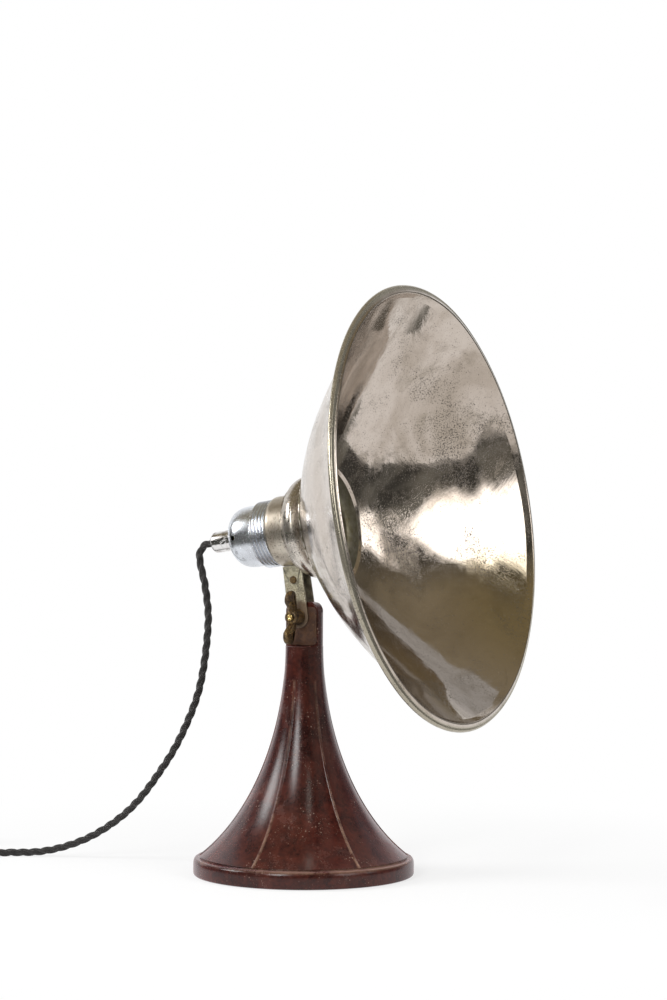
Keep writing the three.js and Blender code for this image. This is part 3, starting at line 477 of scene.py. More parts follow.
# The cord's skin round its line: at each angle it reaches as far as the outermost of three round
# strands that stand round the middle and turn as they go along
def twistedSkin(line):
    heading = np.gradient(line, axis=0)
    heading /= np.linalg.norm(heading, axis=1)[:, None]
    side = steadySides(heading)
    up = np.cross(heading, side)
    run = np.concatenate(([0], np.cumsum(np.linalg.norm(np.diff(line, axis=0), axis=1))))
    angle = circle(cord["around"])
    turnAlong = 2 * math.pi * run / cord["twistLength"]
    third = 2 * math.pi / 3
    fromStrand = (angle[None, :] + 1e-9 - turnAlong[:, None]) % third - third / 2
    offset, radius = cord["strandOffset"], cord["strandRadius"]
    across = offset * np.sin(fromStrand)
    reach = offset * np.cos(fromStrand) + np.sqrt(np.maximum(radius**2 - across**2, cord["thinnest"]))
    skin = (
        line[:, None]
        + side[:, None] * (reach * np.cos(angle))[..., None]
        + up[:, None] * (reach * np.sin(angle))[..., None]
    )
    return skin, run, fromStrand / third + 0.5


# A direction square to the line that turns as little as it can from one point to the next
def steadySides(heading):
    side = np.zeros_like(heading)
    current = np.cross(heading[0], (0.0, 1.0, 0.0))
    for i, ahead in enumerate(heading):
        current = current - ahead * np.dot(current, ahead)
        current = current / np.linalg.norm(current)
        side[i] = current
    return side


# Black cotton braid: fine crossing threads over each strand, dusty on their crests
def makeCordFinish():
    sheen = {"Sheen_Weight": 0.25, "Sheen_Roughness": 0.4}
    material, shader, place = startFinish("blackBraid", Roughness=0.8, **sheen)
    across, along, _ = place.node("ShaderNodeUVMap", {"uv_map": "surface"}).parts()
    turns = across * cord["threads"]
    slant = along * cord["threadSlant"]
    fullTurn = 6.2832
    one = place.maths("SINE", (turns + slant) * fullTurn)
    other = place.maths("SINE", (turns - slant) * fullTurn)
    weave = (one * other + 1) * 0.5
    dust = (weave * 0.6 + place.noise(900, 4.0) * 0.5).between(0.3, 0.98)
    colour = mixColour((0.009, 0.0085, 0.0085), (0.05, 0.046, 0.044), dust)
    feed(shader, Base_Color=colour, Normal=bumpFrom(weave, 0.6, 0.00012))
    return material


# The first and last rows once more, to close a tube's ends
def endsRepeated(rows):
    return np.concatenate((rows[:1], rows, rows[-1:]))


cordSkin, cordRun, strandAngle = twistedSkin(route)
capRows = [np.repeat(point[None, None], cordSkin.shape[1], axis=1) for point in (route[0], route[-1])]
cordGrid = np.concatenate((capRows[0], cordSkin, capRows[1]))
cordPiece = surface(
    "twistedCord", cordGrid * mm, makeCordFinish(), None,
    along=endsRepeated(cordRun)[:, None], around=endsRepeated(strandAngle),
)
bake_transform(cordPiece)
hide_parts("cord_drop", "cord_run", "cord_coil")
print("cord made")


# Plug: a round moulded body with finger grooves round it, lying on its side, and two brass pins
plug = {
    "radius": 18.3,
    "bodyLength": 22,
    "neckRadius": 5.6,
    "neckLength": 14,
    "pinRadius": 2.4,
    "pinLength": 19,
    "pinSpacing": 19,
    "pinSunk": 2,
    "grooves": 18,
    "grooveDepth": 0.5,
    "grooved": 0.8,  # share of the radius from which the grooves begin
    "steps": 180,
    "pinSteps": 48,
}


# Points along the plug's axis from the cord's end, turned to the way the cord arrives
def fromPlug(points):
    points = np.asarray(points, float)
    ahead = np.array((endHeading[0], endHeading[1], 0))
    across = np.array((-endHeading[1], endHeading[0], 0))
    base = leadEnd + ahead * 0.3  # just clear of the cord's end
    return (base + points[..., :1] * ahead + points[..., 1:2] * across + points[..., 2:] * (0, 0, 1)) * mm


def makePlugFinish():
    material, shader, place = startFinish("plugMoulding", Roughness=0.3, Coat_Roughness=0.15)
    cloud = place.noise(120, 4.0)
    colour = mixColour((0.012, 0.009, 0.008), (0.03, 0.02, 0.016), cloud)
    feed(shader, Base_Color=colour, Roughness=cloud * 0.25 + 0.22)
    return material


def makeBrassFinish():
    material, shader, place = startFinish("contactBrass", Metallic=1.0)
    cloud = place.noise(260, 4.0)
    spots = place.noise(1400, 2.0).between(0.56, 0.7)
    colour = mixColour((0.72, 0.52, 0.2), (0.45, 0.31, 0.13), cloud.between(0.4, 0.65))
    feed(shader, Base_Color=mixColour(colour, (0.16, 0.11, 0.05), spots * 0.7), Roughness=cloud * 0.3 + 0.2)
    return material


plugFinish = makePlugFinish()
brassFinish = makeBrassFinish()
plugFace = plug["neckLength"] + plug["bodyLength"]
plugOutline = rounded(
    [
        (0.2, 0.01), (0, plug["neckRadius"] - 0.4, 0.8), (plug["neckLength"] - 1, plug["neckRadius"], 2.5),
        (plug["neckLength"] + 1.5, plug["radius"], 5), (plugFace, plug["radius"], 1.6), (plugFace, 0.01),
    ],
    closed=False,
)
plugGrid = turnedAlong(plugOutline, plug["steps"])
grooveStart = plug["radius"] * plug["grooved"]
grooveShare = np.clip((plugOutline[:, 1] - grooveStart) / (plug["radius"] - grooveStart), 0, 1)[:, None]
groove = (0.5 - 0.5 * np.cos(circle(plug["steps"]) * plug["grooves"])) ** 2
plugGrid[..., 1:] *= (1 - grooveShare * plug["grooveDepth"] / plug["radius"] * groove)[..., None]
plugPiece = surface("plugBody", fromPlug(plugGrid), plugFinish, "stand")
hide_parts("plug_body")
root, tip = plugFace - plug["pinSunk"], plugFace + plug["pinLength"]
pinOutline = rounded(
    [(root, 0.01), (root, plug["pinRadius"]), (tip, plug["pinRadius"], 2.2), (tip, 0.01)],
    closed=False,
)
for side, name, node in ((1, "plugPinLeft", "plug_pin_left"), (-1, "plugPinRight", "plug_pin_right")):
    grid = fromPlug(turnedAlong(pinOutline, plug["pinSteps"]) + (0, side * plug["pinSpacing"] / 2, 0))
    pin = surface(name, grid, brassFinish, "stand")
    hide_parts(node)
print("plug made")

# Stand: a trumpet-shaped shell with six thin raised ribs, a foot band and a flattened tongue on top
stand = {
    "footRadius": 67,
    "footLift": 0.4,
    "footChamfer": 0.8,
    "footBandHeight": 10.8,
    "footEdge": 6.4,
    "creviceDepth": 0.9,
    "creviceWidth": 0.6,
    "flareHeight": 139.2,
    "flareReach": 94.55,
    "flareDrop": 143.3,
    "flareEnd": 0.0047,  # radians below the ellipse's top
    "neckRadius": 11.45,
    "neckTop": 165.4,
    "neckShoulder": 5.5,
    "tongueStart": 138.5,
    "tongueHalf": 3.4,
    "coverRadius": 62.3,
    "ribs": 6,
    "ribFlat": 0.3,  # half of it, and then the slope on each side
    "ribSlope": 0.6,
    "ribHeight": 0.6,
    "ribTop": 122,
    "ribColumns": (0, 0.22, 0.4, 0.55, 0.68, 0.8, 0.95, 1.3),
    "wornReach": 1.05,
    "wornBand": 0.8,
}


# The flare is a quarter of an ellipse: its radius grows as the root of one less the square of how
# far down it is
def flareRadius(height):
    drop = np.clip((stand["flareHeight"] - height) / stand["flareDrop"], 0, 1)
    return stand["neckRadius"] + stand["flareReach"] * (1 - np.sqrt(1 - drop**2))


# Heights and radii from the bottom's hole up the foot band, over the crevice behind it and up the
# flare and the neck
def standOutline():
    ledge = stand["footBandHeight"] + stand["creviceWidth"]
    ledgeRadius = float(flareRadius(ledge))
    low = [(6, stand["coverRadius"]), (stand["footLift"], stand["coverRadius"], 0.3)]
    foot = [
        (stand["footLift"], stand["footRadius"] - 0.3, stand["footChamfer"]),
        (1.8, stand["footRadius"], 1.0),
        (stand["footBandHeight"] - 0.35, stand["footRadius"], stand["footEdge"]),
        (stand["footBandHeight"] - 0.3, ledgeRadius - 0.1, 0.5),
        (stand["footBandHeight"] - 0.2, ledgeRadius - stand["creviceDepth"], 0.2),
        (ledge, ledgeRadius - stand["creviceDepth"], 0.2),
        (ledge + 0.15, ledgeRadius - 0.2, 0.5),
        (ledge + 1.2, float(flareRadius(ledge + 1.2))),
    ]
    base = rounded([*low, *foot], 7, closed=False)
    flareStart = math.asin((stand["flareHeight"] - ledge - 1.6) / stand["flareDrop"])
    turn = np.linspace(flareStart, stand["flareEnd"], 150)
    heights = stand["flareHeight"] - stand["flareDrop"] * np.sin(turn)
    flare = np.stack((heights, flareRadius(heights)), axis=-1)
    step = stand["tongueStart"]
    neckHeights = np.concatenate(([step - 0.2, step], np.linspace(step + 0.02, stand["neckTop"], 60)))
    neck = np.stack((neckHeights, np.full(len(neckHeights), stand["neckRadius"])), axis=-1)
    return np.concatenate((base, flare[:-1], neck))


# Columns round the stand: close together across each rib at fixed distances from its middle, and
# evenly spread between the ribs
def standColumns(radius):
    half = math.pi / stand["ribs"]
    near = np.array(stand["ribColumns"]) / np.maximum(radius, 1)[:, None]
    spread = near[:, -1:] + (half - near[:, -1:]) * np.linspace(0, 1, 16)[1:]
    side = np.concatenate((near, spread), axis=1)
    sector = np.concatenate((-side[:, :0:-1], side), axis=1)
    middles = (np.arange(stand["ribs"]) + 0.5) * 2 * half
    sectors = [sector[:, :-1] + middle for middle in middles]
    return np.concatenate((*sectors, sector[:, -1:] + middles[-1]), axis=1)


# The outline turned round: a rib's height falls to nothing at its top as a root and with its crest's
# slope to the sides, the tongue is cut flat on both sides, and its top corners are quarter circles
def standGrid():
    height, radius = standOutline().T
    angle = standColumns(radius)
    sectorHalf = math.pi / stand["ribs"]
    fromRib = (angle % (2 * sectorHalf)) - sectorHalf
    distance = np.abs(fromRib) * radius[:, None]
    ledge = stand["footBandHeight"] + stand["creviceWidth"]
    left = np.clip((stand["ribTop"] - height) / (stand["ribTop"] - ledge), 0, 1)
    proud = stand["ribHeight"] * np.sqrt(left) * np.clip((height - ledge + 0.6) / 1.2, 0, 1)
    crest = 1 - np.clip((distance - stand["ribFlat"]) / stand["ribSlope"], 0, 1) ** 2
    wide = radius[:, None] + proud[:, None] * crest
    cosine, sine = np.cos(angle), np.sin(angle)
    flat = height >= stand["tongueStart"] + 0.01
    tongue = np.where(flat, stand["tongueHalf"], 99)[:, None] / np.maximum(np.abs(sine), 1e-6)
    halfWidth = math.sqrt(stand["neckRadius"] ** 2 - stand["tongueHalf"] ** 2)
    rise = np.clip(height - (stand["neckTop"] - stand["neckShoulder"]), 0, stand["neckShoulder"])
    drawnIn = halfWidth - stand["neckShoulder"] + np.sqrt(stand["neckShoulder"] ** 2 - rise**2)
    shoulder = np.where(rise > 0, drawnIn, 99)[:, None] / np.maximum(np.abs(cosine), 1e-6)
    reach = np.minimum(np.minimum(wide, tongue), shoulder)
    grid = np.stack((reach * cosine, reach * sine, np.broadcast_to(height[:, None], reach.shape)), axis=-1)
    wornLow = (0.25 + 0.75 * left**1.5) * (proud > 0.1)
    worn = np.clip(1.2 - distance / stand["wornReach"], 0, 1) * wornLow[:, None]
    band = np.exp(-(((height - stand["footBandHeight"] + 0.3) / stand["wornBand"]) ** 2))[:, None]
    closed = np.concatenate((grid[:1] * (0, 0, 1), grid, grid[-1:] * (0, 0, 1)))
    return closed, endsRepeated(np.maximum(worn, band * 0.8))


# Pressed phenolic: two red browns in a soft mottle, pale specks, rubbed edges and dust
moulding = {
    "dark": (0.0155, 0.0026, 0.0016),
    "light": (0.054, 0.011, 0.006),
    "specks": (0.3, 0.21, 0.16),
    "rubbed": (0.27, 0.17, 0.115),
    "dust": (0.13, 0.07, 0.055),
}


def makeMouldingFinish():
    sheen = {"Sheen_Weight": 0.2, "Sheen_Roughness": 0.45, "Sheen_Tint": (0.9, 0.42, 0.5, 1)}
    material, shader, place = startFinish("mottledMoulding", Specular_IOR_Level=0.36, IOR=1.5, **sheen)
    warped = place.noise(75, 5.0, 0.62, 0.7)
    fine = place.noise(560, 3.0)
    broad = place.noise(16, 3.0, 0.5)
    mottle = (warped * 0.6 + fine * 0.25 + broad * 0.3).between(0.46, 0.7)
    colour = mixColour(moulding["dark"], moulding["light"], mottle)
    area = place.noise(60, 3.0, 0.6).between(0.48, 0.62)
    specks = place.cells(360).between(0.2, 0.08) * area
    grit = place.noise(1500, 2.0, 0.5).between(0.64, 0.74) * area
    pale = specks.larger(grit)
    colour = mixColour(colour, moulding["specks"], pale * 0.6)
    uneven = (place.noise(110, 5.0, 0.7) * 0.6 + place.noise(22, 2.0) * 0.5).between(0.46, 0.66)
    rubbed = place.node("ShaderNodeAttribute", {"attribute_name": "wear"}, output=2) * uneven
    colour = mixColour(colour, moulding["rubbed"], rubbed * 0.75)
    dusty = place.noise(34, 5.0, 0.7).between(0.5, 0.72)
    colour = mixColour(colour, moulding["dust"], dusty * 0.2)
    feed(
        shader,
        Base_Color=colour,
        Roughness=fine * 0.12 + rubbed * 0.2 + dusty * 0.14 + pale * 0.2 + 0.16,
        Normal=bumpFrom(fine * 0.5 + warped * 0.8 + pale * 0.8, 0.1, 0.0004),
    )
    return material


standPlaces, standWear = standGrid()
standPiece = surface(
    "standShell", standPlaces * mm, makeMouldingFinish(), "stand", wear=standWear
)
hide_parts("stand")
print("stand made")

# Friction plates in their seats on the tongue, rusty steel with brighter flecks
frictionPlate = {
    "inner": 3.1,
    "thickness": 0.9,
    "edge": 0.25,
    "halfWidth": 10.3,
    "bottom": 139.2,
    "top": 162.5,
    "corner": 3.4,
}


def makeRustFinish(name, pale=0.0):
    material, shader, place = startFinish(name)
    cloud = place.noise(150, 5.0, 0.65)
    grains = place.noise(900, 4.0, 0.7)
    rust = (cloud * 0.6 + grains * 0.4).between(0.4, 0.62)
    bright = place.noise(420, 4.0, 0.7).between(0.6, 0.7)
    colour = mixColour((0.095 + pale, 0.048 + pale, 0.026 + pale), (0.034, 0.014, 0.009), rust)
    colour = mixColour(colour, (0.24, 0.145, 0.08), bright * 0.5)
    feed(
        shader,
        Base_Color=colour,
        Metallic=0.4 - rust * 0.35,
        Roughness=rust * 0.25 + 0.33,
        Normal=bumpFrom(grains + rust * 0.7, 0.35, 0.0002),
    )
    return material


rustFinish = makeRustFinish("rustySteel")
half, corner = frictionPlate["halfWidth"], frictionPlate["corner"]
low, high = frictionPlate["bottom"], frictionPlate["top"]
plateCorners = [(-half, low, corner), (half, low, corner), (half, high, corner), (-half, high, corner)]
plateSides = (
    (-1, "frictionPlateNear", "near_friction_plate"),
    (1, "frictionPlateFar", "far_friction_plate"),
)
for side, name, node in plateSides:
    outline = rounded(plateCorners, 12)
    grid = plate(outline, frictionPlate["thickness"], frictionPlate["edge"], (0, (low + high) / 2))
    grid[..., 1] = side * (frictionPlate["inner"] + grid[..., 1])
    piece = surface(name, grid * mm, rustFinish, "stand")
    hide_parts(node)

# Reflector: a spun bowl. Its rim is a slanted face between a crest at its inside and a roll at its
# outside, and each of these is given by how far forward it is, its radius, its size, and the first
# and last angle of its round
bowl = {
    "radius": 130.6,
    "depth": 72.5,
    "wall": 1,
    "rolls": [(1.7, 128.9, 0.9, -58, 52), (0.15, 131.9, 1.5, -6, 215)],
    "rollSteps": (11, 22),
    "outsideStart": 2.9,
    "insideStart": 0.4,
    "turnIn": (1.6, 14),
    "mouth": [(73.1, 36.2), (74, 34.9), (74.4, 34.2), (75.2, 34.3)],
    "shares": [(0, 1), (0.22, 0.853), (0.44, 0.728), (0.66, 0.586), (0.88, 0.408), (1, 0.286)],
    "wornFrom": 129.4,
    "wornOver": 1.4,
    "untrueDepth": 40,
    "swings": [(2, 0.22, 0.7), (5, 0.12, 2.1), (11, 0.05, 0)],
    "waves": [(3, 0.18, 1.2), (9, 0.07, 0.4)],
    # the middle of an olive patch painted inside the bowl, a painted reflection
    "oliveReflectionSpot": (0.085, 0.115, 0.15),
    "columns": 256,
}
bowlOutside = smoothLine(np.array(bowl["shares"]) * (bowl["depth"], bowl["radius"]), 90)
bowlInside = offsetLine(bowlOutside, -bowl["wall"])


# Out through the mouth along the inside, over the rim and back along the outside. The inside turns in
# a little near the rim. The wear is most on the rim, less outside, little at the mouth, none inside
def bowlOutline():
    outside = bowlOutside[bowlOutside[:, 0] > bowl["outsideStart"]]
    inside = bowlInside[bowlInside[:, 0] > bowl["insideStart"]]
    amount, reach = bowl["turnIn"]
    inside = inside - (0, amount) * np.clip(1 - inside[:, :1] / reach, 0, 1) ** 2
    rolls = []
    for (forward, radius, size, first, last), steps in zip(bowl["rolls"], bowl["rollSteps"]):
        angle = np.radians(np.linspace(first, last, steps))
        rolls += list(zip(-forward - size * np.cos(angle), radius + size * np.sin(angle)))
    mouth = np.array(bowl["mouth"])
    outline = np.concatenate((mouth[::-1], inside[::-1], rolls, outside, mouth[-1:]))
    crest = np.clip((np.array(rolls)[:, 1] - bowl["wornFrom"]) / bowl["wornOver"], 0, 1) * 0.6 + 0.4
    wear = np.concatenate(([0.3] * len(mouth), [0] * len(inside), crest, [0.45] * len(outside), [0.3]))
    return outline, wear


# A sum of sines, each with how often it comes round, its size and where it starts
def sines(angle, waves):
    return sum(size * np.sin(count * angle + start) for count, size, start in waves)


# The spun sheet isn't quite true: near the rim its radius and its depth swing slowly round by part
# of a millimetre
def bowlGrid():
    outline, wear = bowlOutline()
    grid = turnedAlong(outline, bowl["columns"])
    angle = circle(bowl["columns"])
    near = np.clip(1 - outline[:, 0] / bowl["untrueDepth"], 0, 1)[:, None] ** 2
    grid[..., 1:] *= (1 + near * sines(angle, bowl["swings"]) / bowl["radius"])[..., None]
    grid[..., 0] += near * sines(angle, bowl["waves"])
    return fromRim(grid * (-1, 1, 1)), wear[:, None]


# Old nickel plate: near mirror where it is clean, hazy and brown in its stains, pitted in patches,
# and dull and brown where it is worn, most of all on the rim
nickel = {
    "stain": (0.3, 0.25, 0.19),
    "oliveReflection": (0.42, 0.33, 0.13),
    "pit": (0.05, 0.04, 0.032),
    "bowl": {"light": (0.575, 0.505, 0.445), "dark": (0.43, 0.365, 0.305), "rough": 0.03},
    "sleeve": {"light": (0.6, 0.55, 0.47), "dark": (0.44, 0.38, 0.31), "rough": 0.29, "ripple": 1},
    "cup": {
        "light": (0.7, 0.65, 0.59),
        "dark": (0.5, 0.45, 0.39),
        "rough": 0.2,
        # painted shade: the dark colour of the cup's whole inside, which is marked as worn
        "worn": (0.11, 0.095, 0.05),
        "ripple": 1,
    },
}


def makeNickelFinish(name, light, dark, rough, worn=(0.38, 0.345, 0.27), ripple=6):
    material, shader, place = startFinish(name)
    cloud = place.noise(16, 5.0, 0.6, 0.9)
    fine = place.noise(170, 5.0, 0.65)
    grain = place.noise(1300, 2.0, 0.5)
    patch = place.noise(24, 4.0, 0.65, 0.5).between(0.47, 0.66)
    pits = (place.noise(1300, 3.0, 0.6) + patch * 0.1).between(0.61, 0.71)
    stains = place.noise(34, 6.0, 0.7, 0.8).between(0.52, 0.7)
    colour = mixColour(light, dark, cloud.between(0.4, 0.66))
    colour = mixColour(colour, nickel["stain"], stains * 0.34 + patch * 0.16)
    # Painted reflection: an olive patch low on the bowl's right, round a fixed point, where the nickel
    # mirrors olive-brown surroundings
    corner = 1 - (place.distanceTo(bowl["oliveReflectionSpot"]) + cloud * 0.03).between(0.03, 0.085)
    colour = mixColour(colour, nickel["oliveReflection"], corner * 0.55)
    wear = place.node("ShaderNodeAttribute", {"attribute_name": "wear"}, output=2)
    # The worn colour is real wear on the bowl's rim, and painted shade on the cup's inside
    colour = mixColour(colour, worn, wear.between(0.5, 0.9) * (fine * 0.6 + 0.6))
    colour = mixColour(colour, nickel["pit"], pits * 0.85)
    smear = cloud.between(0.45, 0.7) * 0.07 + fine.between(0.42, 0.7) * 0.1
    feed(
        shader,
        Base_Color=colour,
        Metallic=1 - wear.between(0.4, 1) * 0.2 - pits * 0.4,
        Roughness=smear + grain * 0.03 + stains * 0.12 + pits * 0.12 + wear * 0.13 + rough,
        Normal=bumpFrom(cloud * ripple + fine * 0.35 + pits * 0.8, 0.1, 0.0003),
    )
    return material


nickelFinish = makeNickelFinish("agedNickel", **nickel["bowl"])
sleeveFinish = makeNickelFinish("sleeveNickel", **nickel["sleeve"])
bowlPlaces, bowlWear = bowlGrid()
bowlPiece = surface("reflectorBowl", bowlPlaces, nickelFinish, "head", wear=bowlWear)
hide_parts("reflector")
print("reflector made")

# Neck cup: a flange on the bowl's back, a waist, a bulge and a lip round the lampholder
cup = {
    "wall": 0.8,
    "gap": 0.3,
    "flange": 42,
    "waist": (77.2, 27.6),
    "bulge": (83.4, 31),
    "shoulder": (89, 29.4),
    "lip": (92.6, 25.6),
    "curl": [(0, 0), (0.5, 0.5, 0.4), (1.1, -0.3, 0.5)],  # the lip's edge, from the lip's start
    "boreBack": 0.7,
    "bore": 22.2,
    "steps": 160,
}


# A smooth wall over the flange, waist, bulge and shoulder, curled out at the lip, then in to the bore
# and back along the inside, which is all dark: its wear is set full so that it takes the cup's dark worn
# colour, a painted shade
def cupOutline():
    onBowl = offsetLine(bowlOutside, cup["gap"] + cup["wall"])
    holeRadius = bowl["radius"] * bowl["shares"][-1][1]
    flange = onBowl[(onBowl[:, 1] < cup["flange"]) & (onBowl[:, 1] > holeRadius)]
    flangeKnots = [flange[0], flange[len(flange) // 2], flange[-1]]
    outside = smoothLine([*flangeKnots, cup["waist"], cup["bulge"], cup["shoulder"], cup["lip"]], 72)
    inside = offsetLine(outside, -cup["wall"])
    back, radius = cup["lip"]
    inside = inside[inside[:, 0] < back - cup["wall"] - 0.3]
    curl = [(back + along, radius + out, *size) for along, out, *size in cup["curl"]]
    lip = rounded([*curl, (back + cup["boreBack"], cup["bore"], 0.3)], 6, closed=False)
    front = [(back - cup["wall"], cup["bore"]), (back - cup["wall"], inside[-1][1] - 0.5)]
    outline = np.concatenate((outside[:-1], lip, front, inside[::-1], outside[:1]))
    wear = np.zeros(len(outline))
    # painted shade: the inside is marked fully worn to take the dark colour
    wear[len(outside) + len(lip) :] = 1
    return outline, wear[:, None]


cupFinish = makeNickelFinish("cupNickel", **nickel["cup"])
cupPlaces, cupInsideShade = cupOutline()
cupGrid = turnedBack(cupPlaces, cup["steps"])
cupPiece = surface("neckCup", cupGrid, cupFinish, "head", wear=cupInsideShade)
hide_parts("neck_cup")

# Lampholder: collar, skirt with rolled ridges, domed cap with a small hole, cord grip and its screw
holder = {
    "collar": (86.6, 107, 19.7, 21.75),
    "skirtMouth": 82,
    "skirtRadius": 19.4,
    "skirtWall": 1.2,
    "ridgeCrest": 20.5,
    "grooveRadius": 18.9,
    "ridgePitch": 2.3,
    "ridges": 5,
    "capRadius": 18.8,
    "capShoulder": 124.8,
    "capTip": 139.7,
    "capWall": 1.2,
    "domePower": 2.8,
    "holeRadius": 1.6,
    "holeBack": 131.5,
    "gripRadius": 6.5,
    "gripFront": 140,
    "gripBack": 155.3,
    "gripChamfer": 1.6,
    "gripBore": 2.7,
    "nippleRadius": 5.3,
    "nippleDepth": 3.1,
}
front, back, inner, outer = holder["collar"]
collarCorners = [(front, inner, 0.2), (front, outer, 0.4), (back, outer, 2.6), (back, inner, 0.3)]
collarOutline = rounded(collarCorners, 8)
collarPiece = surface("collarSleeve", turnedBack(collarOutline, 128), sleeveFinish, "head")
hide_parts("collar")


# The ridges are waves whose crests are wider than their grooves: a raised cosine to the power 0.55
def skirtOutline():
    ridgesStart = holder["collar"][1] + 0.3
    length = holder["ridges"] * holder["ridgePitch"]
    along = np.linspace(ridgesStart, ridgesStart + length, holder["ridges"] * 20 + 1)
    wave = 0.5 - 0.5 * np.cos(2 * math.pi * (along - ridgesStart) / holder["ridgePitch"])
    crest = holder["grooveRadius"] + (holder["ridgeCrest"] - holder["grooveRadius"]) * wave**0.55
    bore = holder["skirtRadius"] - holder["skirtWall"]
    mouth, end = holder["skirtMouth"], along[-1] + 0.1
    start = [(mouth, bore), (mouth, holder["skirtRadius"])]
    back = [(end, holder["skirtRadius"] - 0.1), (end, bore), (mouth, bore)]
    return np.concatenate((start, np.stack((along, crest), axis=-1), back))


def makeZincFinish():
    material, shader, place = startFinish("brightZinc", Metallic=1.0)
    cloud = place.noise(70, 4.0)
    fine = place.noise(900, 3.0)
    spots = place.noise(420, 3.0).between(0.62, 0.72)
    colour = mixColour((0.76, 0.79, 0.84), (0.62, 0.64, 0.68), cloud.between(0.4, 0.65))
    feed(
        shader,
        Base_Color=mixColour(colour, (0.25, 0.25, 0.25), spots * 0.4),
        Roughness=cloud * 0.14 + fine * 0.08 + 0.15,
        Normal=bumpFrom(cloud + fine * 0.5, 0.12, 0.0003),
    )
    return material


zincFinish = makeZincFinish()
skirtPiece = surface("holderSkirt", turnedBack(skirtOutline(), 160), zincFinish, "head")
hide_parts("holder_skirt")


# The dome is a circle whose power is above two, from its shoulder to the hole for the nipple: the
# shares of its length and of its radius, each to that power, add up to one
def domeOutline(tip, radius, steps=40):
    power = holder["domePower"]
    end = (1 - (holder["nippleRadius"] / radius) ** power) ** (1 / power)
    share = end * np.sin(np.linspace(0, math.pi / 2, steps))
    along = holder["capShoulder"] + (tip - holder["capShoulder"]) * share
    return np.stack((along, radius * (1 - share**power) ** (1 / power)), axis=-1)


def capGrid():
    front = holder["collar"][1] + holder["ridges"] * holder["ridgePitch"] + 0.6
    radius, shoulder, wall = holder["capRadius"], holder["capShoulder"], holder["capWall"]
    outside = domeOutline(holder["capTip"], radius)
    inside = domeOutline(holder["capTip"] - wall, radius - wall)[::-1]
    start = rounded([(front, radius - wall), (front, radius, 0.5), (shoulder, radius)], 5, closed=False)
    outline = np.concatenate((start[:-1], outside, inside, [(front, radius - wall)]))
    return turnedBack(outline, 128)


# Cuts the drill's closed shape out of the piece, and keeps the hole's edge sharp
def drilled(piece, drill):
    cut = piece.modifiers.new("hole", "BOOLEAN")
    cut.operation, cut.solver, cut.object = "DIFFERENCE", "EXACT", drill
    ready = piece.evaluated_get(bpy.context.evaluated_depsgraph_get())
    mesh = bpy.data.meshes.new_from_object(ready)
    piece.modifiers.clear()
    piece.data = mesh
    mesh.set_sharp_from_angle(angle=math.radians(40))
    bpy.data.objects.remove(drill, do_unlink=True)


capPiece = surface("holderCap", capGrid(), zincFinish, "head")
outer, inner = -holder["capRadius"] - 3, -holder["capRadius"] / 2
drillOutline = [(outer, 0), (outer, holder["holeRadius"]), (inner, holder["holeRadius"]), (inner, 0)]
drillPlaces = fromRim(turnedAcross(drillOutline, 40) + (-holder["holeBack"], 0, 0))
drilled(capPiece, surface("drill", drillPlaces, zincFinish, "head"))
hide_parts("holder_cap")


def makeChromeFinish():
    material, shader, place = startFinish("chromedSteel", Metallic=1.0)
    cloud = place.noise(240, 4.0)
    spots = place.noise(700, 3.0).between(0.6, 0.7)
    colour = mixColour((0.78, 0.77, 0.76), (0.55, 0.52, 0.5), cloud.between(0.42, 0.66))
    colour = mixColour(colour, (0.2, 0.17, 0.15), spots * 0.6)
    feed(shader, Base_Color=colour, Roughness=cloud * 0.18 + 0.06)
    return material


chromeFinish = makeChromeFinish()
front, back, radius = holder["gripFront"], holder["gripBack"], holder["gripRadius"]
chamfer, nippleEnd = holder["gripChamfer"], front + holder["nippleDepth"]
gripCorners = [
    (front, holder["nippleRadius"]),
    (front, radius, 0.4),
    (back - chamfer, radius, 1.1),
    (back, radius - chamfer, 0.8),
    (back, holder["gripBore"], 0.3),
    (nippleEnd, holder["gripBore"]),
    (nippleEnd, holder["nippleRadius"]),
]
gripOutline = rounded(gripCorners, 5)
gripPiece = surface("cordGrip", turnedBack(gripOutline, 96), chromeFinish, "head")
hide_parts("cord_grip")

# The screw that clamps the cord, across the cord grip
gripScrew = {
    "radius": 2.3,
    "back": 145.4,
    "face": -7,
    "length": 2.6,
    "slotHalf": 0.28,
    "slotDepth": 0.8,
    "slotTurn": 28,
}


# A slotted screw along Y: its head's face sinks where the slot runs through its middle, and the
# slot's walls slope over the last part of a millimetre
def slottedScrew(screw):
    share = np.concatenate((np.linspace(0, 0.92, 22), [0.97, 1, 1, 1]))
    drop = np.concatenate((np.zeros(22), [0.03, 0.12, 0.4, screw["length"]]))
    angle = circle(72)
    reach = (screw["radius"] * share)[:, None]
    u, v = reach * np.cos(angle), reach * np.sin(angle)
    turn = math.radians(screw["slotTurn"])
    side = np.abs(u * math.sin(turn) - v * math.cos(turn))
    sunk = screw["slotDepth"] * np.clip((screw["slotHalf"] + 0.08 - side) / 0.16, 0, 1)
    depth = np.maximum(drop[:, None], sunk)
    grid = np.stack((u - screw["back"], screw["face"] + depth, v), axis=-1)
    middle = grid[-1:] * (0, 1, 0) - (screw["back"], 0, 0)
    return np.concatenate((grid, middle))


screwGrid = slottedScrew(gripScrew)
screwPiece = surface("gripScrew", fromRim(screwGrid), chromeFinish, "head")
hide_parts("grip_screw")
print("lampholder made")

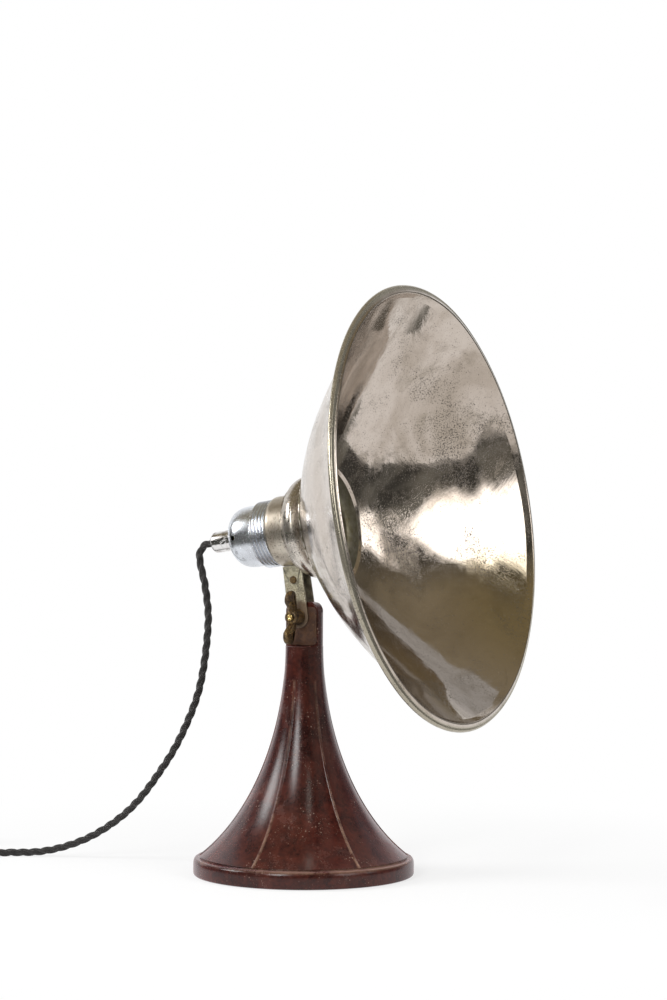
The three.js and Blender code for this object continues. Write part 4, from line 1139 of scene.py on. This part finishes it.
# Stirrup: two straps, the rivet that spaces them, the hinge bolt and its washers. A washer is given by
# its faces, bore and radius, and the bolt's head by its start, end and radius
stirrup = {
    "strapInner": 4.3,
    "strapThickness": 1.2,
    "strapRadius": 6.8,
    "strapTopHalf": 5.9,
    "strapTop": 31.25,
    "strapEdge": 0.3,
    "strapMiddle": (0, 12),
    "strapPitted": 0.016,  # metres from the hinge, as the finish measures it
    "rivetRise": 22.6,
    "rivetRadius": 1.4,
    "rivetHead": 2.4,
    "rivetHeight": 1.35,
    "washer": (5.8, 6.8, 2.2, 5),
    "boltRadius": 2,
    "boltEnd": 16.4,
    "boltHead": (7.1, 9.9, 4.5),
}


# A half circle round the hinge and two sides that draw in evenly towards the reflector's axis
def strapOutline():
    radius, top = stirrup["strapRadius"], stirrup["strapTop"]
    angle = np.linspace(math.pi, 2 * math.pi, 40)
    end = radius * np.stack((np.cos(angle), np.sin(angle)), axis=-1)
    height = np.linspace(0, top, 24)
    width = radius + (stirrup["strapTopHalf"] - radius) * height / hingeFrame["axisRise"]
    right = np.stack((width, height), axis=-1)
    left = np.stack((-width[::-1], height[::-1]), axis=-1)
    return np.concatenate((end, right[1:], left[:-1], end[:1]))


# Dull cream nickel, pitted half way down, with a dark brown patina round the hinge bolt. The shade
# darkens all of it as painted shade, for the far strap, which stands in shade
def makeStrapFinish(name, shade):
    material, shader, place = startFinish(name)
    away = place.distanceTo(tuple(float(value) for value in fromHinge((0, -stirrup["strapInner"], 0))))
    cloud = place.noise(260, 4.0, 0.6)
    grains = place.noise(1300, 3.0, 0.6)
    colour = mixColour((0.56, 0.52, 0.38), (0.4, 0.36, 0.25), cloud.between(0.42, 0.62))
    # painted shade: the shade lowers this all over, so the dark colour covers most of a shaded strap
    unshadedClean = cloud.between(0.4, 0.6) * (1 - shade) + (1 - shade) * 0.5
    colour = mixColour((0.035, 0.025, 0.016), colour, unshadedClean)
    halfWay = 1 - abs(away - stirrup["strapPitted"]).between(0.002, 0.008)
    pits = (grains + halfWay * 0.1).between(0.56, 0.66)
    colour = mixColour(colour, (0.13, 0.1, 0.065), pits * 0.75)
    patina = 1 - (away + (cloud - 0.5) * 0.012).between(0.0085, 0.0125)
    colour = mixColour(colour, (0.1, 0.06, 0.035), patina * 0.9)
    feed(
        shader,
        Base_Color=colour,
        Metallic=0.45 - patina * 0.3,
        Roughness=cloud * 0.2 + pits * 0.2 + 0.28,
        Normal=bumpFrom(cloud + pits, 0.25, 0.0002),
    )
    return material


# The far strap is the same finish with painted shade over most of it
nearStrapFinish = makeStrapFinish("dullStrap", 0.0)
farStrapFinish = makeStrapFinish("shadedStrap", 0.75)
strapSides = (
    (-1, "strapNear", "near_strap", nearStrapFinish),
    (1, "strapFar", "far_strap", farStrapFinish),
)
for side, name, node, finish in strapSides:
    grid = plate(strapOutline(), stirrup["strapThickness"], stirrup["strapEdge"], stirrup["strapMiddle"])
    grid[..., 1] = side * (stirrup["strapInner"] + grid[..., 1])
    piece = surface(name, fromHinge(grid), finish, "head")
    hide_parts(node)


def makeOldBrassFinish():
    material, shader, place = startFinish("dirtyBrass")
    cloud = place.noise(180, 5.0, 0.65)
    grains = place.noise(1000, 4.0, 0.7)
    dirt = (cloud * 0.6 + grains * 0.4).between(0.42, 0.58)
    colour = mixColour((0.22, 0.145, 0.065), (0.05, 0.032, 0.018), dirt)
    feed(
        shader,
        Base_Color=colour,
        Metallic=1 - dirt * 0.55,
        Roughness=dirt * 0.3 + 0.35,
        Normal=bumpFrom(grains + dirt, 0.3, 0.0002),
    )
    return material


oldBrassFinish = makeOldBrassFinish()
face, head = stirrup["strapInner"] + stirrup["strapThickness"] + 0.05, stirrup["rivetHead"]
height = stirrup["rivetHeight"]
rivetCorners = [
    (0, stirrup["rivetRadius"]),
    (face, stirrup["rivetRadius"]),
    (face, head, 0.2),
    (face + height - 0.2, head - 0.3, 0.9),
    (face + height - 0.05, 0.01),
]
rivetHalf = rounded(rivetCorners, 6, closed=False)
rivetOutline = np.concatenate((rivetHalf[::-1] * (-1, 1), rivetHalf[1:]))
rivetGrid = fromHinge(turnedAcross(rivetOutline, 48) + (0, 0, stirrup["rivetRise"]))
rivetPiece = surface("strapRivet", rivetGrid, oldBrassFinish, "head")
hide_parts("strap_rivet")

radius, end = stirrup["boltRadius"], -stirrup["boltEnd"]
headStart, headEnd, headRadius = stirrup["boltHead"]
boltCorners = [
    (end + 0.5, 0.01),
    (end, 1.2, 0.3),
    (end + 0.2, radius - 0.1, 0.4),
    (end + 2.4, radius),
    (headStart, radius),
    (headStart, headRadius, 0.2),
    (headEnd - 1.3, headRadius - 0.1, 1.4),
    (headEnd, 2.4, 1.2),
    (headEnd, 0.01),
]
boltGrid = turnedAcross(rounded(boltCorners, 6, closed=False), 64)
boltPiece = surface("hingeBolt", fromHinge(boltGrid), brassFinish, "head")
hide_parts("hinge_bolt")
near, far, bore, radius = stirrup["washer"]
washerOutline = rounded([(near, bore, 0.15), (near, radius, 0.25), (far, radius, 0.3), (far, bore, 0.2)], 4)
washerSides = ((-1, "washerNear", "near_washer", "washer"), (1, "washerFar", "far_washer", "head"))
for side, name, node, body in washerSides:
    grid = fromHinge(turnedAcross(washerOutline * (side, 1), 64))
    piece = surface(name, grid, oldBrassFinish, body)
    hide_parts(node)

# Wing nut: a tapered hub and two ears that lean outwards, cast in one
wingNut = {
    "start": 7.1,
    "end": 15.2,
    "base": 5,
    "tip": 4,
    "bore": 2.3,
    "earRoot": (2.2, 6.4),
    "earFoot": 1.5,
    "earReach": 16.2,
    "earTip": 5.2,
    "earRise": 8.7,
    "earThickness": 3.3,
    "earEdge": 0.9,
    "earMiddle": (8.5, 7),
    "earTurn": 11,
}


# The ear's root on the hub and the round of its tip
def earOutline():
    tipRadius, rise = wingNut["earTip"], wingNut["earRise"]
    tipX = wingNut["earReach"] - tipRadius
    angle = np.radians(np.linspace(-50, 115, 30))
    tip = zip(tipX + tipRadius * np.cos(angle), rise + tipRadius * np.sin(angle))
    root = wingNut["earRoot"]
    return rounded([root, (root[0], wingNut["earFoot"]), *tip], 2)


start, end, bore = wingNut["start"], wingNut["end"], wingNut["bore"]
base, tip = wingNut["base"], wingNut["tip"]
hubCorners = [(start, bore, 0.2), (start, base, 0.4), (end, tip, 0.9), (end, bore, 0.3)]
hubGrid = turnedAcross(rounded(hubCorners, 6) * (-1, 1), 64)
nutParts = [surface("hubPart", fromHinge(hubGrid), oldBrassFinish, None)]
lean = math.radians(wingNut["earTurn"])
for side in (1, -1):
    ear = plate(earOutline(), wingNut["earThickness"], wingNut["earEdge"], wingNut["earMiddle"])
    upright, thick, rise = ear[..., 0] * side, ear[..., 1] - wingNut["earThickness"] / 2, ear[..., 2]
    x = thick * math.cos(lean) + upright * math.sin(lean)
    z = upright * math.cos(lean) - thick * math.sin(lean)
    grid = np.stack((x, -start - rise, z), axis=-1)
    nutParts.append(surface("earPart", fromHinge(grid), oldBrassFinish, None))
nutPiece = joined("wingNut", nutParts)
finishPiece(nutPiece, oldBrassFinish, "wing_nut")
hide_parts("wing_nut")
print("stirrup made")

# Pieces that keep their own shape get a finish for what they are made of
plainSteelFinish = makeRustFinish("plainSteel", 0.25)
castFinish = makeRustFinish("castIron")


def makeFeltFinish():
    material, shader, place = startFinish("greenFelt", Roughness=0.95, Sheen_Weight=0.4)
    fibres = place.noise(1800, 4.0, 0.8, 1.5)
    colour = mixColour((0.02, 0.035, 0.024), (0.05, 0.075, 0.055), fibres)
    feed(shader, Base_Color=colour, Normal=bumpFrom(fibres, 0.5, 0.0004))
    return material


def makePorcelainFinish():
    material, shader, place = startFinish("porcelain", Coat_Weight=0.4)
    cloud = place.noise(90, 4.0)
    colour = mixColour((0.82, 0.8, 0.75), (0.66, 0.62, 0.54), cloud.between(0.4, 0.7))
    feed(shader, Base_Color=colour, Roughness=cloud * 0.2 + 0.12)
    return material


keptFinishes = {
    "foot_weight": castFinish,
    "cover_plate": rustFinish,
    "felt_pad": makeFeltFinish(),
    "tie_rod": plainSteelFinish,
    "tie_rod_nut": plainSteelFinish,
    "tie_rod_washer": plainSteelFinish,
    "shade_ring": zincFinish,
    "holder_insert": makePorcelainFinish(),
    "screw_shell": brassFinish,
    "centre_contact": brassFinish,
    "terminal_screw_near": brassFinish,
    "terminal_screw_far": brassFinish,
    "threaded_nipple": brassFinish,
    "lock_nut": brassFinish,
}
for node, material in keptFinishes.items():
    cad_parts[node].data.materials.clear()
    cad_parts[node].data.materials.append(material)
print("finishes set")

# Studio: a white table and background, a soft world and three softboxes. A photographer's dark
# cards stand round the table's edge, where only reflections see them
studio = {
    "worldLight": 0.5,
    "floorShade": 0.3,
    "shadeReach": (0.1, 0.42),
    "floorSize": 30,
    "middle": (0.03, 0.0, 0.21),
    "tableReach": 0.59,
    "tableNarrow": 0.17,  # nearer on the camera's side, and this far round from the front
    "narrowTurn": 0.35,
    "tableLonger": 0.48,  # further to the right, over some width either side of that direction
    "longerTowards": -0.2,
    "longerWidth": 0.48,
    "wallRise": 0.1,
    "farReach": 1.5,
    "cardDark": (0.06, 0.06, 0.055),
    "cardWorn": (0.22, 0.22, 0.2),
    "cardAbove": (0.28, 0.24, 0.165),
    "wavy": 8,  # degrees that the fields' edges swing by
    "lampAway": 1.7,
}
lamps = {
    "leftLamp": {"azimuth": -150, "elevation": 28, "size": (0.7, 0.7), "power": 19},
    "frontLamp": {"azimuth": -90, "elevation": 26, "size": (0.5, 0.9), "power": 14},
    "rightLamp": {"azimuth": -15, "elevation": 20, "size": (0.6, 0.8), "power": 12},
}
# Where the cards are open to the white background at the side and behind, and brownish above. These
# and the bright fields are in degrees of azimuth and elevation from the middle
cardAreas = {
    "end": (170, 178),
    "side": (58, 66),
    "sideTop": (-2, 6),
    "back": (78, 92),
    "backTop": (30, 60),
    "above": (26, 48),
}
cardFields = {
    "leftField": {"middle": (-150, 25), "half": (12, 11), "glow": 12, "soft": 0.7, "bend": 2},
    "frontField": {"middle": (-91, 24), "half": (9, 13), "glow": 14, "soft": 0.6, "bend": 2},
    "rightField": {"middle": (-15, 18), "half": (13, 15.5), "glow": 4, "soft": 0.35, "bend": 1.3},
    "narrowField": {"middle": (12, 19), "half": (5.5, 13), "glow": 3, "soft": 0.9, "bend": 2},
    "farField": {"middle": (70, 33), "half": (15, 14), "glow": 0.45, "soft": 0.2, "bend": 4},
}


# 1 for rays that show the background: the camera's, and those off gloss and through glass
def backgroundRay(wire):
    outputs = wire.node("ShaderNodeLightPath").socket.node.outputs
    seen = ("Is Camera Ray", "Is Glossy Ray", "Is Transmission Ray")
    camera, glossy, through = [Wire(wire.tree, outputs[name]) for name in seen]
    return camera.larger(glossy).larger(through)


# White paper that also glows, all of it far away, and less near the lamp so that a shadow shows
def makeFloor():
    size = studio["floorSize"] / 2
    mesh = bpy.data.meshes.new("studioFloor")
    corners = [(-size, -size, 0), (size, -size, 0), (size, size, 0), (-size, size, 0)]
    mesh.from_pydata(corners, [], [(0, 1, 2, 3)])
    floor = bpy.data.objects.new("studioFloor", mesh)
    scene.collection.objects.link(floor)
    material, place = startGlow("studioWhite")
    shade = (1 - place.distanceTo((0, 0, 0)).between(*studio["shadeReach"])) * studio["floorShade"]
    paper = place.node("ShaderNodeBsdfDiffuse", None, {"Color": (0.85, 0.85, 0.85, 1)})
    glow = place.node("ShaderNodeEmission", None, {"Color": (1, 1, 1, 1), "Strength": 1.0})
    share = backgroundRay(place) * (1 - shade)
    blend = place.node("ShaderNodeMixShader", None, {0: share, 1: paper, 2: glow})
    place.node("ShaderNodeOutputMaterial", None, {"Surface": blend})
    mesh.materials.append(material)


# The cards' shape: a low wall where the table ends, nearer on the camera's side, a flat shelf behind
# it, and a half globe far away above. The table's reach falls by a half sine towards the camera and
# grows by a bell curve to the right
def cardsGrid():
    azimuth = np.radians(np.linspace(-180, 180, 145))
    longer = np.exp(-(((azimuth - studio["longerTowards"]) / studio["longerWidth"]) ** 2))
    nearer = np.clip(-np.sin(azimuth + studio["narrowTurn"]), 0, 1)
    near = studio["tableReach"] - studio["tableNarrow"] * nearer + studio["tableLonger"] * longer
    rise = np.radians(np.linspace(0, 90, 25))[:, None]
    far = studio["farReach"] * np.cos(rise) + 0 * azimuth
    wide = np.concatenate((near[None], near[None], far))
    low = np.array((0.001, studio["wallRise"]))[:, None] + 0 * azimuth
    globe = studio["wallRise"] + studio["farReach"] * np.sin(rise) + 0 * azimuth
    height = np.concatenate((low, globe))
    middleX, middleY, _ = studio["middle"]
    return np.stack((middleX + wide * np.cos(azimuth), middleY + wide * np.sin(azimuth), height), axis=-1)


# The cards' glow by the direction from the middle: dark in front, open to the white background
# behind, brownish above, and a bright field for each softbox
def makeCards():
    material, place = startGlow("photoCards")
    heading = place.node("ShaderNodeVectorMath", {"operation": "SUBTRACT"}, {0: place, 1: studio["middle"]})
    heading = place.node("ShaderNodeVectorMath", {"operation": "NORMALIZE"}, {0: heading})
    x, y, z = heading.parts()
    azimuth = x.maths("ARCTAN2", y, x) * (180 / math.pi)
    elevation = z.maths("ARCSINE", z) * (180 / math.pi)
    cloud = heading.noise(3.2, 3.0, 0.6)
    colour = mixColour(studio["cardDark"], studio["cardWorn"], cloud.between(0.45, 0.62))
    colour = mixColour(colour, studio["cardAbove"], elevation.between(*cardAreas["above"]))
    wavy = azimuth + (cloud - 0.5) * studio["wavy"]
    raised = elevation + (cloud - 0.5) * studio["wavy"]
    for field in cardFields.values():
        across = abs((wavy - field["middle"][0]) * (1 / field["half"][0]))
        upward = abs((raised - field["middle"][1]) * (1 / field["half"][1]))
        reach = across ** field["bend"] + upward ** field["bend"]
        inside = 1 - reach.between(1 - field["soft"], 1 + field["soft"])
        colour = mixColour(colour, (field["glow"],) * 3, inside)
    beforeEnd = 1 - azimuth.between(*cardAreas["end"])
    sideOpen = wavy.between(*cardAreas["side"]) * (1 - raised.between(*cardAreas["sideTop"]))
    backOpen = azimuth.between(*cardAreas["back"]) * (1 - elevation.between(*cardAreas["backTop"]))
    colour = mixColour(colour, (1, 1, 1), sideOpen.larger(backOpen) * beforeEnd)
    glow = place.node("ShaderNodeEmission", None, {"Color": colour, "Strength": 1.0})
    place.node("ShaderNodeOutputMaterial", None, {"Surface": glow})
    material.cycles.emission_sampling = "NONE"
    cards = surface("photoCards", cardsGrid(), material, None)
    for ray in ("camera", "diffuse", "transmission", "volume_scatter", "shadow"):
        setattr(cards, "visible_" + ray, False)


# A soft white world that is full white only where the background shows
def makeWorld():
    world = bpy.data.worlds.new("studioWorld")
    world.use_nodes = True
    scene.world = world
    tree = world.node_tree
    tree.nodes.clear()
    start = Wire(tree)
    strength = backgroundRay(start) * (1 - studio["worldLight"]) + studio["worldLight"]
    sky = start.node("ShaderNodeBackground", None, {"Color": (1, 1, 1, 1), "Strength": strength})
    start.node("ShaderNodeOutputWorld", None, {"Surface": sky})


# A lamp stands in the direction of its softbox and faces the middle
def addLamp(name, lampData):
    azimuth, elevation = math.radians(lampData["azimuth"]), math.radians(lampData["elevation"])
    data = bpy.data.lights.new(name, "AREA")
    data.shape = "RECTANGLE"
    data.size, data.size_y = lampData["size"]
    data.energy = lampData["power"]
    lamp = bpy.data.objects.new(name, data)
    flat = math.cos(elevation)
    heading = Vector((flat * math.cos(azimuth), flat * math.sin(azimuth), math.sin(elevation)))
    lamp.location = Vector(studio["middle"]) + heading * studio["lampAway"]
    lamp.rotation_euler = (-heading).to_track_quat("-Z", "Y").to_euler()
    lamp.visible_glossy = False
    scene.collection.objects.link(lamp)


makeFloor()
makeCards()
makeWorld()
for name, lampData in lamps.items():
    addLamp(name, lampData)
print("studio made")
